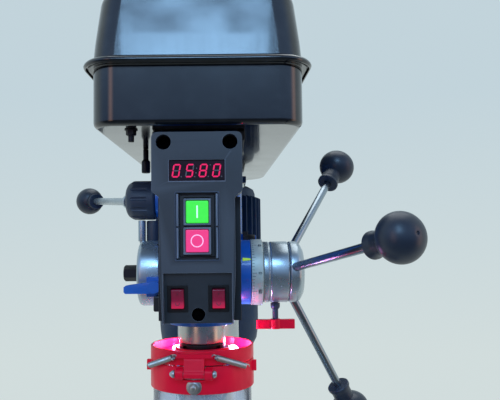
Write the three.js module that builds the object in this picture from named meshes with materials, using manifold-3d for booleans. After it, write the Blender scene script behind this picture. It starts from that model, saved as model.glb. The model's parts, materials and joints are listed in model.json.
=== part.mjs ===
// Bench drill press, variable speed, with a rack-and-pinion quill and a rack-lifted table.
// Millimetres. The origin is on the base's underside, straight below the spindle.
// +X is to the operator's right, +Y is towards the column, +Z is up.
import * as THREE from 'three';
import { mergeVertices } from 'three/addons/utils/BufferGeometryUtils.js';
import Module from 'manifold-3d';

const wasm = await Module();
wasm.setup();

// ---- driving dimensions ----
const GAP = 0.3; // between touching pieces
const RUN = 0.3; // radial clearance of turning and sliding pieces
const FINE = 32; // sides of the largest rounds
const ROUND = 24;
const MIDDLE = 16;
const SMALL = 12;

const BASE = { halfWidth: 140, front: -170, back: 250, height: 30, corner: 24 };
const COLUMN = { y: 160, radius: 36.5, wall: 3.5, bottom: 30.6, top: 781 };
const FLANGE = { radius: 70, hub: 50, disc: 14, top: 78 };
const RACK = { bottom: 79, top: 545, halfWidth: 11, module: 2, seat: 7 };
const COLLAR = { bottom: 546, height: 16, radius: 46 };
const BRACKET = { bottom: 255, top: 325, radius: 50, arm: 25 };
const TABLE = { half: 120, back: 106, top: 350, thick: 13, corner: 16, hole: 12.5 };

const HEAD = { bottom: 640, nose: 622, top: 795.5, half: 34, front: -38, noseRadius: 30, neck: 42 };
const QUILL = { radius: 21.5, bottom: 604.7, top: 760, bore: 13 };
const SPINDLE = { top: 862, radius: 8, bearing: 10, nose: 12 };
const FEED = { y: 30, z: 668, teeth: 14, module: 1.5, shaft: 8 };
const CRANK = { teeth: 12, shaft: 7, arm: 70 };
const SPEED = { y: 40, z: 741, boss: -46.6 };
const LOCK = { x: -42, z: 657 };
const GLAND = { x: 58, y: 150, z: 700, nut: 10, collar: 7.5, bore: 3.5 };

const COVER = { front: -67, back: 353, halfFront: 91.6, halfBack: 80, corner: 22, rearCorner: 46 };
const PAN = { bottom: 796, top: 850, wall: 1.6, flange: 2, lip: 4.6 };
const LID = { low: 847.9, rim: 853, shoulder: 908, top: 930, overhang: 7.7, wall: 2 };
const MOTOR = { x: -3, y: 282, radius: 69, fins: 74, shaft: 7, bottom: 555, top: 778 };
const BELT_Z = 829;
const PULLEY = { spindle: 55, motor: 23 };

const FACE = {
  front: -75, back: -60.3, half: 37.6, waist: 31.2, foot: 29,
  top: 788, neck: 738.5, shoulder: 734, step: 671.4, bottom: 629.3,
};
const GUARD = { yaw: -5.5, radius: 47.8, wall: 2, top: 603.4, split: 590, bottom: 566.5, shield: 475 };
const GUARD_PLATE = { bottom: 593.6, top: 595.6, hub: 600.6, inner: 21.5 };
const GUARD_BAR = { bottom: 598, top: 601.5, half: 16 };

// ---- colours ----
const paint = (color, roughness, metalness = 0) => ({ color, roughness, metalness });
const BLUE = paint(0x1f66b8, 0.42);
const BLACK_PAINT = paint(0x15181c, 0.25);
const BLACK_PLASTIC = paint(0x1b1c20, 0.5);
const GLOSS_BLACK = paint(0x101114, 0.15);
const STEEL = paint(0xa9a9a6, 0.3, 1);
const CHROME = paint(0xdfe2e4, 0.08, 1);
const IRON = paint(0x5d6166, 0.6, 0.6);
const GREY_PAINT = paint(0x3a4048, 0.45);
const RED = paint(0xd3122b, 0.3);
const GREEN = paint(0x1fa24a, 0.4);
const CLEAR = { color: 0xdfe6ee, roughness: 0.05, metalness: 0, transparent: true, opacity: 0.35 };

// ---- geometry helpers ----
const V = (x, y, z) => new THREE.Vector3(x, y, z);

function positionsOnly(geometry) {
  const copy = geometry.index ? geometry.clone() : geometry;
  for (const name of Object.keys(copy.attributes)) {
    if (name !== 'position') copy.deleteAttribute(name);
  }
  return mergeVertices(copy, 1e-4);
}

function solid(geometry) {
  const merged = positionsOnly(geometry);
  return new wasm.Manifold(new wasm.Mesh({
    numProp: 3,
    vertProperties: new Float32Array(merged.attributes.position.array),
    triVerts: new Uint32Array(merged.index.array),
  }));
}

function surface(manifold) {
  const mesh = manifold.getMesh();
  const geometry = new THREE.BufferGeometry();
  geometry.setAttribute('position', new THREE.BufferAttribute(mesh.vertProperties, 3));
  geometry.setIndex(new THREE.BufferAttribute(mesh.triVerts, 1));
  return geometry;
}

const join = (...pieces) => surface(pieces.map(solid).reduce((a, b) => a.add(b)));

const cut = (body, ...tools) => surface(
  tools.map(solid).reduce((a, b) => a.subtract(b), solid(body)),
);

const box = (x0, x1, y0, y1, z0, z1) => new THREE.BoxGeometry(x1 - x0, y1 - y0, z1 - z0)
  .translate((x0 + x1) / 2, (y0 + y1) / 2, (z0 + z1) / 2);

// A solid of revolution about Z from [radius, z] pairs, ordered upwards on the outside.
function turned(profile, sides = ROUND) {
  const points = profile.map(([r, z]) => new THREE.Vector2(r, z));
  return positionsOnly(new THREE.LatheGeometry(points, sides).rotateX(Math.PI / 2));
}

const post = (radius, z0, z1, sides = ROUND) => turned([[0, z0], [radius, z0], [radius, z1], [0, z1]], sides);

const ring = (inner, outer, z0, z1, sides = ROUND) => turned(
  [[inner, z0], [outer, z0], [outer, z1], [inner, z1], [inner, z0]],
  sides,
);

// Turns a shape made along Z so that its +Z points along the given direction, then moves it.
function aim(geometry, direction, origin = V(0, 0, 0)) {
  const turn = new THREE.Quaternion().setFromUnitVectors(V(0, 0, 1), direction.clone().normalize());
  return geometry.applyQuaternion(turn).translate(origin.x, origin.y, origin.z);
}

const alongX = (geometry, x, y, z) => geometry.rotateY(Math.PI / 2).translate(x, y, z);

function rod(radius, from, to, sides = SMALL) {
  const run = to.clone().sub(from);
  return aim(post(radius, 0, run.length(), sides), run, from);
}

const outline = (points) => new THREE.Shape(points.map(([x, y]) => new THREE.Vector2(x, y)));

const slab = (shape, z0, z1, curveSegments = 6) => new THREE.ExtrudeGeometry(shape, {
  depth: z1 - z0, bevelEnabled: false, curveSegments,
}).translate(0, 0, z0);

// A slab drawn in X and Z and extruded backwards along Y.
const upright = (points, y0, y1) => slab(outline(points), -y1, -y0).rotateX(Math.PI / 2);

function roundedRectangle(x0, x1, y0, y1, r) {
  const shape = new THREE.Shape();
  shape.moveTo(x0 + r, y0);
  shape.lineTo(x1 - r, y0);
  shape.absarc(x1 - r, y0 + r, r, -Math.PI / 2, 0);
  shape.absarc(x1 - r, y1 - r, r, 0, Math.PI / 2);
  shape.absarc(x0 + r, y1 - r, r, Math.PI / 2, Math.PI);
  shape.absarc(x0 + r, y0 + r, r, Math.PI, 1.5 * Math.PI);
  return shape;
}

// A closed solid lofted through outlines that all have the same number of points.
function loft(outlines) {
  const count = outlines[0].points.length;
  const vertices = outlines.flatMap(({ points, z }) => points.flatMap((p) => [p.x, p.y, z]));
  const faces = [];
  for (let level = 0; level < outlines.length - 1; level += 1) {
    for (let i = 0; i < count; i += 1) {
      const a = level * count + i;
      const b = level * count + (i + 1) % count;
      faces.push(a, b, b + count, a, b + count, a + count);
    }
  }
  const cap = THREE.ShapeUtils.triangulateShape(outlines[0].points, []);
  const last = (outlines.length - 1) * count;
  for (const [a, b, c] of cap) {
    faces.push(a, c, b, last + a, last + b, last + c);
  }
  const geometry = new THREE.BufferGeometry();
  geometry.setAttribute('position', new THREE.Float32BufferAttribute(vertices, 3));
  geometry.setIndex(faces);
  return geometry;
}

// ---- gears ----
const PRESSURE = THREE.MathUtils.degToRad(20);
const TOOTH_SLACK = 0.12; // taken off each flank

// A spur gear's outline with one tooth pointing along +X.
function gearShape(teeth, module, addendum, dedendum) {
  const pitch = teeth * module / 2;
  const base = pitch * Math.cos(PRESSURE);
  const halfTooth = Math.PI / (2 * teeth) - TOOTH_SLACK / pitch;
  const involute = (angle) => Math.tan(angle) - angle;
  const flank = [];
  const steps = 3;
  for (let i = 0; i <= steps; i += 1) {
    const r = base + (pitch + addendum - base) * i / steps;
    const spread = halfTooth + involute(PRESSURE) - involute(Math.acos(base / r));
    flank.push([r, spread]);
  }
  const root = pitch - dedendum;
  const side = [[root, flank[0][1]], ...flank];
  const points = [];
  for (let tooth = 0; tooth < teeth; tooth += 1) {
    const middle = tooth * 2 * Math.PI / teeth;
    const rising = side.map(([r, a]) => [r, middle - a]);
    const falling = side.map(([r, a]) => [r, middle + a]).reverse();
    for (const [r, a] of [...rising, ...falling]) {
      points.push([r * Math.cos(a), r * Math.sin(a)]);
    }
  }
  return outline(points);
}

// ---- base and column ----
function baseCasting() {
  const { halfWidth, front, back, height, corner } = BASE;
  const body = slab(roundedRectangle(-halfWidth, halfWidth, front, back, corner), 0, height);
  const pocketDepth = 20;
  const rib = 14;
  const rim = 16;
  const [slotX, slotHalf] = [66, 8];
  const cuts = [];
  for (const side of [-1, 1]) {
    const [x0, x1] = [side * rib, side * (halfWidth - rim)].sort((a, b) => a - b);
    cuts.push(box(x0, x1, front + rim, COLUMN.y - FLANGE.radius - rib, -1, pocketDepth));
    cuts.push(box(side * slotX - slotHalf, side * slotX + slotHalf, -120, 30, -2, height + 1));
    for (const y of [front + 24, back - 24]) {
      cuts.push(post(6, -1, height + 1, SMALL).translate(side * (halfWidth - 22), y, 0));
    }
  }
  return cut(body, ...cuts);
}

const columnFlange = () => turned([
  [COLUMN.radius + RUN, BASE.height + GAP], [FLANGE.radius, BASE.height + GAP],
  [FLANGE.radius, BASE.height + FLANGE.disc], [FLANGE.hub + 4, BASE.height + FLANGE.disc + 4],
  [FLANGE.hub, FLANGE.top - 3], [FLANGE.hub - 3, FLANGE.top], [COLUMN.radius + RUN, FLANGE.top],
  [COLUMN.radius + RUN, BASE.height + GAP],
], FINE).translate(0, COLUMN.y, 0);

const columnTube = () => ring(
  COLUMN.radius - COLUMN.wall,
  COLUMN.radius,
  COLUMN.bottom,
  COLUMN.top,
  FINE,
).translate(0, COLUMN.y, 0);

const RACK_PITCH_Y = COLUMN.y + COLUMN.radius + GAP + RACK.seat;
const CRANK_PITCH = CRANK.teeth * RACK.module / 2;
const CRANK_Y = RACK_PITCH_Y + CRANK_PITCH;
const CRANK_Z = 296;
const RACK_ADDENDUM = 1.3;
const RACK_DEDENDUM = 2.4;

function liftRack() {
  const tip = RACK_PITCH_Y + RACK_ADDENDUM;
  const bar = box(-RACK.halfWidth, RACK.halfWidth, COLUMN.y + 30, tip, RACK.bottom, RACK.top);
  const seat = post(COLUMN.radius + GAP, RACK.bottom - 1, RACK.top + 1, FINE).translate(0, COLUMN.y, 0);
  const pitch = Math.PI * RACK.module;
  const cuts = [seat];
  const first = Math.ceil((RACK.bottom + 6 - CRANK_Z) / pitch);
  const last = Math.floor((RACK.top - 6 - CRANK_Z) / pitch);
  for (let k = first; k <= last; k += 1) {
    cuts.push(rackTool(RACK.module, RACK.halfWidth + 1, RACK_DEDENDUM, RACK_ADDENDUM + 1)
      .translate(0, RACK_PITCH_Y, CRANK_Z + k * pitch));
  }
  return cut(bar, ...cuts);
}

// The rack gap turned to open along +Y, with its length along X and its width along Z.
function rackTool(module, halfWidth, depth, rise) {
  const halfGap = Math.PI * module / 4 + TOOTH_SLACK;
  const lean = Math.tan(PRESSURE);
  const low = halfGap - depth * lean;
  const high = halfGap + rise * lean;
  const shape = outline([[-depth, -low], [rise, -high], [rise, high], [-depth, low]]);
  const tool = slab(shape, -halfWidth, halfWidth);
  return tool.applyMatrix4(new THREE.Matrix4().makeBasis(V(0, 1, 0), V(0, 0, 1), V(1, 0, 0)));
}

const rackCollar = () => ring(
  COLUMN.radius + RUN,
  COLLAR.radius,
  COLLAR.bottom,
  COLLAR.bottom + COLLAR.height,
  FINE,
).translate(0, COLUMN.y, 0);

// ---- table and its lift ----
const TILT_Z = 300; // height of the table's tilt axis

function tableBracket() {
  const { bottom, top, radius } = BRACKET;
  const collar = post(radius, bottom, top, ROUND).translate(0, COLUMN.y, 0);
  const arm = rod(BRACKET.arm, V(0, 52, TILT_Z), V(0, COLUMN.y - 30, TILT_Z), MIDDLE);
  const face = rod(28, V(0, 44, TILT_Z), V(0, 66, TILT_Z), MIDDLE);
  const gearCase = box(-24, 24, COLUMN.y + 30, CRANK_Y + 19, CRANK_Z - 22, CRANK_Z + 22);
  const crankBoss = rod(13, V(20, CRANK_Y, CRANK_Z), V(46, CRANK_Y, CRANK_Z), MIDDLE);
  const clampEar = box(-62, -40, COLUMN.y - 14, COLUMN.y + 14, 268, 320);
  const columnHole = post(COLUMN.radius + RUN, bottom - 1, top + 1, FINE).translate(0, COLUMN.y, 0);
  const rackHole = box(
    -RACK.halfWidth - 0.6,
    RACK.halfWidth + 0.6,
    COLUMN.y + 20,
    RACK_PITCH_Y + RACK_ADDENDUM + 0.8,
    bottom - 1,
    top + 1,
  );
  const gearRoom = rod(CRANK_PITCH + 3, V(-13, CRANK_Y, CRANK_Z), V(13, CRANK_Y, CRANK_Z), MIDDLE);
  const shaftHole = rod(CRANK.shaft + RUN, V(-18, CRANK_Y, CRANK_Z), V(60, CRANK_Y, CRANK_Z), MIDDLE);
  const lockHole = rod(4.3, V(-70, COLUMN.y, 294), V(-38, COLUMN.y, 294), SMALL);
  const body = join(collar, arm, face, gearCase, crankBoss, clampEar);
  return cut(body, columnHole, rackHole, gearRoom, shaftHole, lockHole);
}

function table() {
  const { half, back, top, thick, corner, hole } = TABLE;
  const rimDepth = 10;
  const rimWidth = 9;
  const plate = slab(roundedRectangle(-half, half, -half, back, corner), top - thick, top);
  const rim = cut(
    slab(roundedRectangle(-half, half, -half, back, corner), top - thick - rimDepth, top - thick + 1),
    slab(
      roundedRectangle(-half + rimWidth, half - rimWidth, -half + rimWidth, back - rimWidth, corner - 6),
      top - thick - rimDepth - 1, top,
    ),
  );
  const cheek = rod(28, V(0, 18, TILT_Z), V(0, 44 - GAP, TILT_Z), MIDDLE);
  const rib = box(-28, 28, 18, 44 - GAP, TILT_Z, top - thick + 1);
  const slots = [];
  for (const side of [-1, 1]) {
    for (const y of [-95, 10]) {
      slots.push(box(side * 75 - 7, side * 75 + 7, y, y + 70, top - 40, top + 1));
    }
  }
  slots.push(post(hole, top - 40, top + 1, MIDDLE));
  return cut(join(plate, rim, cheek, rib), ...slots);
}

function bracketLockLever() {
  const screw = rod(4, V(-104, COLUMN.y, 294), V(-44, COLUMN.y, 294), SMALL);
  const hub = rod(9, V(-96, COLUMN.y, 294), V(-66, COLUMN.y, 294), SMALL);
  const handle = rod(5, V(-84, COLUMN.y + 4, 294), V(-112, COLUMN.y + 66, 294), SMALL);
  const ball = new THREE.SphereGeometry(11, 14, 8).translate(-114, COLUMN.y + 70, 294);
  return join(screw, hub, handle, ball);
}

function crankPinion() {
  const gear = slab(gearShape(CRANK.teeth, RACK.module, RACK.module, 2.5), -11, 11);
  const turn = gear.rotateZ(Math.PI);
  const laid = turn.applyMatrix4(new THREE.Matrix4().makeBasis(V(0, 1, 0), V(0, 0, 1), V(1, 0, 0)));
  const shaft = alongX(post(CRANK.shaft, -17, 66, MIDDLE), 0, 0, 0);
  return join(laid, shaft);
}

function crankArm() {
  const bar = box(52, 61, -9, 9, 0, CRANK.arm);
  const ends = [0, CRANK.arm].map((z) => rod(12, V(51, 0, z), V(62, 0, z), MIDDLE));
  const bore = rod(CRANK.shaft + 0.3, V(40, 0, 0), V(70, 0, 0), MIDDLE);
  return cut(join(bar, ...ends), bore);
}

const crankKnob = () => alongX(turned([
  [0, 0], [9, 0], [9.5, 3], [8, 9], [11, 26], [11.5, 36], [8, 43], [0, 45],
], MIDDLE), 62 + GAP, 0, CRANK.arm);

// ---- head ----
function headCasting() {
  const { bottom, nose, top, half, front, noseRadius } = HEAD;
  const neck = post(HEAD.neck, bottom, top, FINE).translate(0, COLUMN.y, 0);
  const barrel = post(noseRadius, nose, top - 2, ROUND);
  const web = box(-half, half, front, COLUMN.y, bottom, top);
  const bosses = [
    rod(31.8, V(20, FEED.y, FEED.z), V(46.6, FEED.y, FEED.z), ROUND),
    rod(32, V(-20, FEED.y, FEED.z), V(-40, FEED.y, FEED.z), ROUND),
    rod(18, V(-20, SPEED.y, SPEED.z), V(SPEED.boss, SPEED.y, SPEED.z), MIDDLE),
    box(-50, -30, -16, -4, 648, 666),
    box(-40, 40, 190, 238, MOTOR.top + 8 + GAP, top),
  ];
  const glandWay = (from, to, radius, sides) => rod(
    radius, V(from, GLAND.y, GLAND.z), V(to, GLAND.y, GLAND.z), sides,
  );
  const gland = [
    glandWay(HEAD.neck - 4, GLAND.x - 10, GLAND.nut, 6),
    glandWay(HEAD.neck - 4, GLAND.x, GLAND.collar, MIDDLE),
  ];
  const glandBore = glandWay(GLAND.x - 7, GLAND.x + 1, GLAND.bore, SMALL);
  const quillHole = post(QUILL.radius + RUN, nose - 1, 775, FINE);
  const sleeveHole = post(17.3, 770, top + 1, MIDDLE);
  const columnHole = post(COLUMN.radius + RUN, bottom - 1, COLUMN.top + 1, FINE).translate(0, COLUMN.y, 0);
  const shaftHole = rod(FEED.shaft + RUN, V(-50, FEED.y, FEED.z), V(50, FEED.y, FEED.z), MIDDLE);
  const gearRoom = rod(13.5, V(-10, FEED.y, FEED.z), V(10, FEED.y, FEED.z), MIDDLE);
  const hollow = box(-half + 9, half - 9, 34, COLUMN.y - 56, 690, top + 1);
  const lockHole = rod(4.3, V(LOCK.x, -20, LOCK.z), V(LOCK.x, -3, LOCK.z), SMALL);
  const speedHole = rod(6.3, V(-60, SPEED.y, SPEED.z), V(-22, SPEED.y, SPEED.z), SMALL);
  return cut(
    join(neck, barrel, web, ...bosses, ...gland),
    quillHole, sleeveHole, columnHole, shaftHole, gearRoom, hollow, lockHole, speedHole, glandBore,
  );
}

const QUILL_PITCH_Y = FEED.y - FEED.teeth * FEED.module / 2;
const QUILL_TOOTH_TIP = 1.2;

function quill() {
  const { radius, bottom, top, bore } = QUILL;
  const pocket = 17.6;
  const tube = turned([
    [pocket, bottom], [radius - 0.6, bottom], [radius, bottom + 0.6], [radius, top], [bore, top],
    [bore, bottom + 13], [pocket, bottom + 13], [pocket, bottom],
  ], FINE);
  const pitch = Math.PI * FEED.module;
  const tipY = QUILL_PITCH_Y + QUILL_TOOTH_TIP;
  const cuts = [box(-10.5, 10.5, tipY, tipY + 5, FEED.z - 2.6 * pitch, FEED.z + 16.6 * pitch)];
  for (let k = -2; k <= 16; k += 1) {
    cuts.push(rackTool(FEED.module, 10.5, 1.9, QUILL_TOOTH_TIP + 1)
      .translate(0, QUILL_PITCH_Y, FEED.z + k * pitch));
  }
  return cut(tube, ...cuts);
}

// The spindle's nose, its bearing, the nut and the chuck are drawn from the quill's lower end.
const SPINDLE_TOP = SPINDLE.top - QUILL.bottom;

const spindle = () => turned([
  [0, -29.5], [8.6, -29.5], [9.6, -6.5], [SPINDLE.nose, -6.1], [SPINDLE.nose, -1], [SPINDLE.bearing, -0.5],
  [SPINDLE.bearing, 12.5], [11.5, 13.1], [11.5, 18.5], [SPINDLE.radius, 20.5],
  [SPINDLE.radius, SPINDLE_TOP - 1.5], [SPINDLE.radius - 1.5, SPINDLE_TOP], [0, SPINDLE_TOP],
], MIDDLE);

const quillBearing = () => turned([
  [10.3, 0.5], [12, 0.5], [12.6, 1.5], [15, 1.5], [15.4, 0.5], [17.3, 0.5], [17.3, 11.5],
  [15.4, 11.5], [15, 10.5], [12.6, 10.5], [12, 11.5], [10.3, 11.5], [10.3, 0.5],
], MIDDLE);

const quillNoseNut = () => ring(12.6, 21.2, -5.9, -GAP, ROUND);

const CHUCK = {
  top: -7.5, shoulder: -12.5, sleeveTop: -23.5, sleeveBottom: -56.5, mouth: -69.5, body: 19, sleeve: 25,
};
const JAW_LEAN = THREE.MathUtils.degToRad(15);

const jawPath = (turn) => V(
  -Math.sin(JAW_LEAN) * Math.cos(turn),
  -Math.sin(JAW_LEAN) * Math.sin(turn),
  -Math.cos(JAW_LEAN),
);

const JAW = { radius: 3.2, start: 14.5, top: -41.5, bottom: -71.5 };

// One chuck jaw: a slanted rod flattened on the side that faces the drill.
function chuckJaw(turn, grow = 0) {
  const outward = V(Math.cos(turn), Math.sin(turn), 0);
  const topAt = outward.clone().multiplyScalar(JAW.start).setZ(JAW.top + grow * 3);
  const path = jawPath(turn);
  const length = (JAW.top - JAW.bottom) / Math.cos(JAW_LEAN) + grow * 60;
  return rod(JAW.radius + grow, topAt, topAt.clone().addScaledVector(path, length), SMALL);
}

function chuckBody() {
  const shell = turned([
    [0, CHUCK.mouth], [13.5, CHUCK.mouth], [CHUCK.body, CHUCK.mouth + 10], [CHUCK.body, CHUCK.sleeveTop + 1],
    [22, CHUCK.sleeveTop + 1], [22, CHUCK.shoulder], [18, CHUCK.top], [0, CHUCK.top],
  ], ROUND);
  const taper = turned([[0, -30.5], [8.9, -30.5], [9.9, -6], [0, -6]], MIDDLE);
  const mouth = post(8.2, CHUCK.mouth - 1, JAW.top, MIDDLE);
  const slots = [0, 1, 2].map((i) => chuckJaw(i * 2 * Math.PI / 3, RUN + 0.2));
  return cut(shell, taper, mouth, ...slots);
}

function chuckSleeve() {
  const knurls = 16;
  const shell = turned([
    [CHUCK.body + RUN, CHUCK.sleeveBottom], [CHUCK.sleeve - 3, CHUCK.sleeveBottom],
    [CHUCK.sleeve, CHUCK.sleeveBottom + 5], [CHUCK.sleeve, CHUCK.sleeveTop - 4],
    [CHUCK.sleeve - 2, CHUCK.sleeveTop], [CHUCK.body + RUN, CHUCK.sleeveTop],
    [CHUCK.body + RUN, CHUCK.sleeveBottom],
  ], FINE);
  const grooves = [];
  for (let i = 0; i < knurls; i += 1) {
    const turn = (i + 0.5) * 2 * Math.PI / knurls;
    const at = V(Math.cos(turn), Math.sin(turn), 0).multiplyScalar(CHUCK.sleeve + 0.6);
    grooves.push(post(1.3, CHUCK.sleeveBottom + 10, CHUCK.sleeveTop - 9, 6).translate(at.x, at.y, 0));
  }
  return cut(shell, ...grooves);
}

// ---- quill feed ----
const CAP = { face: 62, radius: 32, open: 40.6, hole: 7, wall: 2 };

function feedShaft() {
  const gear = slab(gearShape(FEED.teeth, FEED.module, FEED.module, 1.875), -9, 9).rotateZ(Math.PI);
  const laid = gear.applyMatrix4(new THREE.Matrix4().makeBasis(V(0, 1, 0), V(0, 0, 1), V(1, 0, 0)));
  const shaft = alongX(turned([
    [0, -CAP.face], [6, -CAP.face], [6, -41], [FEED.shaft, -41], [FEED.shaft, 80], [0, 80],
  ], MIDDLE), 0, 0, 0);
  return join(laid, shaft);
}

const HUB = { left: 47, flange: 83.8, right: 99, radius: 29, neck: 14 };
const SPOKE = { lean: Math.atan2(78, 156), apex: 75, radius: 4.2, start: 30, end: 154 };

// Unit direction of a feed spoke; elevation is counted from the front, towards the top.
function spokeWay(index) {
  const turn = THREE.MathUtils.degToRad(11 + 120 * index);
  return V(
    Math.sin(SPOKE.lean),
    -Math.cos(SPOKE.lean) * Math.cos(turn),
    Math.cos(SPOKE.lean) * Math.sin(turn),
  );
}

const alongSpoke = (index, distance) => spokeWay(index).multiplyScalar(distance).add(V(SPOKE.apex, 0, 0));

function feedHub() {
  const profile = turned([
    [0, HUB.left + GAP], [HUB.neck, HUB.left + GAP], [HUB.neck, HUB.flange], [HUB.radius, HUB.flange],
    [HUB.radius + 1, HUB.flange + 2], [HUB.radius + 1, HUB.right - 7], [HUB.radius - 4, HUB.right - 2],
    [HUB.radius - 10, HUB.right], [0, HUB.right],
  ], ROUND);
  const bore = post(FEED.shaft + GAP, HUB.left - 1, 80 + GAP, MIDDLE);
  const sockets = [0, 1, 2].map((i) => rod(
    SPOKE.radius + GAP,
    alongSpoke(i, SPOKE.start - GAP),
    alongSpoke(i, 60),
    SMALL,
  ));
  return cut(alongX(cut(profile, bore), 0, 0, 0), ...sockets);
}

const feedSpoke = (index) => rod(
  SPOKE.radius,
  alongSpoke(index, SPOKE.start),
  alongSpoke(index, SPOKE.end),
  SMALL,
);

const KNOB = { radius: 20, half: 18, neck: 10, flare: 11.5, stem: 14, bore: 12 };

// A ball knob made along Z with its open neck at z = 0; the rod ends inside it.
function ballKnob(radius, half, rodRadius) {
  const { neck, flare, stem, bore } = KNOB;
  const scale = radius / KNOB.radius;
  const centre = stem * scale + half;
  const profile = [
    [rodRadius + GAP, bore * scale], [rodRadius + GAP, 0], [flare * scale, 0],
    [flare * scale, 3 * scale], [neck * scale, 9 * scale],
  ];
  const steps = 6;
  const first = -1.05;
  for (let i = 0; i <= steps; i += 1) {
    const angle = first + (Math.PI / 2 - first) * i / steps;
    profile.push([Math.cos(angle) * radius, centre + Math.sin(angle) * half]);
  }
  profile[profile.length - 1][0] = 0;
  profile.unshift([0, bore * scale]);
  return turned(profile, MIDDLE);
}

const feedKnob = (index) => aim(
  ballKnob(KNOB.radius, KNOB.half, SPOKE.radius),
  spokeWay(index),
  alongSpoke(index, SPOKE.end - KNOB.bore + GAP),
);

const depthRing = () => alongX(
  ring(HUB.neck + RUN, 32.3, HUB.left + 0.1, 58.2, FINE),
  0, 0, 0,
);

function depthCollar() {
  const collar = alongX(turned([
    [HUB.neck + RUN, 58.5], [30, 58.5], [30, 82], [29, 83.5], [HUB.neck + RUN, 83.5],
    [HUB.neck + RUN, 58.5],
  ], ROUND), 0, 0, 0);
  return cut(collar, rod(3.3, V(71, 0, -10), V(71, 0, -40), SMALL));
}

const DEPTH_LOCK_X = 71;

const depthLockWing = () => join(
  rod(3, V(DEPTH_LOCK_X, 0, -16), V(DEPTH_LOCK_X, 0, -47), SMALL),
  rod(5.5, V(DEPTH_LOCK_X, 0, -31.5), V(DEPTH_LOCK_X, 0, -47), SMALL),
  box(DEPTH_LOCK_X - 19, DEPTH_LOCK_X + 19, -4, 4, -56, -46.3),
);

// The flat spiral that lifts the quill, wound about X between the feed shaft and its cap.
function returnSpring() {
  const turns = 4;
  const steps = 72;
  const [inner, outer, thickness] = [8.2, 27.5, 1];
  const edge = (offset) => {
    const points = [];
    for (let i = 0; i <= steps; i += 1) {
      const t = i / steps;
      const angle = t * turns * 2 * Math.PI;
      const r = inner + (outer - inner) * t + offset;
      points.push([r * Math.cos(angle), r * Math.sin(angle)]);
    }
    return points;
  };
  const strip = slab(outline([...edge(thickness), ...edge(0).reverse()]), -CAP.face + 4, -46);
  return strip.rotateY(Math.PI / 2);
}

function springCap() {
  const { face, radius, open, hole, wall } = CAP;
  return alongX(turned([
    [hole, -face], [radius - wall, -face], [radius, -face + 3], [radius, -open], [radius - wall, -open],
    [radius - wall, -face + wall], [hole, -face + wall], [hole, -face],
  ].reverse(), ROUND), 0, 0, 0);
}

function springNut() {
  const [outer, inner, radius] = [78, CAP.face + 0.6, 8];
  return alongX(post(radius, -outer, -inner, 6), 0, 0, 0);
}

// A tapered arm on a clamp screw that runs along Y.
function quillLockLever() {
  const screw = rod(4, V(0, -18, 0), V(0, -5, 0), SMALL);
  const hub = rod(5.5, V(0, -28, 0), V(0, -16 - GAP, 0), MIDDLE);
  const arm = upright([[0, -5.5], [0, 5.5], [-25, 2], [-27, 0.5], [-27, -4], [-25.5, -5.5]], -27, -18);
  return join(screw, hub, arm);
}

// ---- speed change ----
const BALL_WAY = V(-72, 120, 11).normalize();

const speedHub = () => join(
  rod(6, V(-26, 0, 0), V(-52, 0, 0), SMALL),
  rod(19.7, V(SPEED.boss - 0.4, 0, 0), V(-79, 0, 0), ROUND),
);

const speedRod = () => rod(4, V(-76, 14, 0), V(-76, 14, 0).addScaledVector(BALL_WAY, 118), SMALL);

const speedBall = () => new THREE.SphereGeometry(16, 20, 10);

// ---- belt drive ----
function coverOutline(inset, shrink = 0) {
  const { front, back, halfFront, halfBack, corner } = COVER;
  const x0 = halfFront - inset - shrink;
  const x1 = halfBack - inset - shrink;
  const y0 = front + inset + shrink * 0.8;
  const y1 = back - inset - shrink;
  const rearRadius = COVER.rearCorner - inset;
  const frontRadius = Math.max(corner - inset, 4);
  const points = [];
  const corners = [
    [x0 - frontRadius, y0 + frontRadius, frontRadius, -Math.PI / 2],
    [x1 - rearRadius, y1 - rearRadius, rearRadius, 0],
    [-x1 + rearRadius, y1 - rearRadius, rearRadius, Math.PI / 2],
    [-x0 + frontRadius, y0 + frontRadius, frontRadius, Math.PI],
  ];
  const steps = 5;
  for (const [x, y, r, start] of corners) {
    for (let i = 0; i <= steps; i += 1) {
      const a = start + (Math.PI / 2) * i / steps;
      points.push(new THREE.Vector2(x + r * Math.cos(a), y + r * Math.sin(a)));
    }
  }
  return points;
}

const level = (z, inset, shrink = 0) => ({ z, points: coverOutline(inset, shrink) });

const HINGE_PIN = { y: COVER.back + 16, z: 845, radius: 2.5 };

const hingePinHole = () => rod(
  HINGE_PIN.radius + RUN,
  V(-60, HINGE_PIN.y, HINGE_PIN.z),
  V(60, HINGE_PIN.y, HINGE_PIN.z),
  SMALL,
);

function beltPan() {
  const outer = loft([level(PAN.bottom, 3), level(PAN.bottom + 4, 0), level(PAN.top, 0)]);
  const flange = loft([level(PAN.top - PAN.flange, -PAN.lip), level(PAN.top, -PAN.lip)]);
  const lugs = [-1, 1].flatMap((side) => {
    const [x0, x1] = [side * 20, side * 29].sort((a, b) => a - b);
    return [
      box(x0, x1, COVER.back - 1, HINGE_PIN.y + 4.5, 828, 838),
      box(x0, x1, HINGE_PIN.y - 4.5, HINGE_PIN.y + 4.5, 828, HINGE_PIN.z),
      rod(4.5, V(x0, HINGE_PIN.y, HINGE_PIN.z), V(x1, HINGE_PIN.y, HINGE_PIN.z), MIDDLE),
    ];
  });
  const inner = loft([level(PAN.bottom + PAN.wall, 4), level(PAN.bottom + 5, 2), level(PAN.top + 1, 2)]);
  const spindleHole = post(30, PAN.bottom - 1, PAN.bottom + 6, MIDDLE);
  const motorHole = post(16, PAN.bottom - 1, PAN.bottom + 6, MIDDLE).translate(MOTOR.x, MOTOR.y, 0);
  return cut(join(outer, flange, ...lugs), inner, spindleHole, motorHole, hingePinHole());
}

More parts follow.
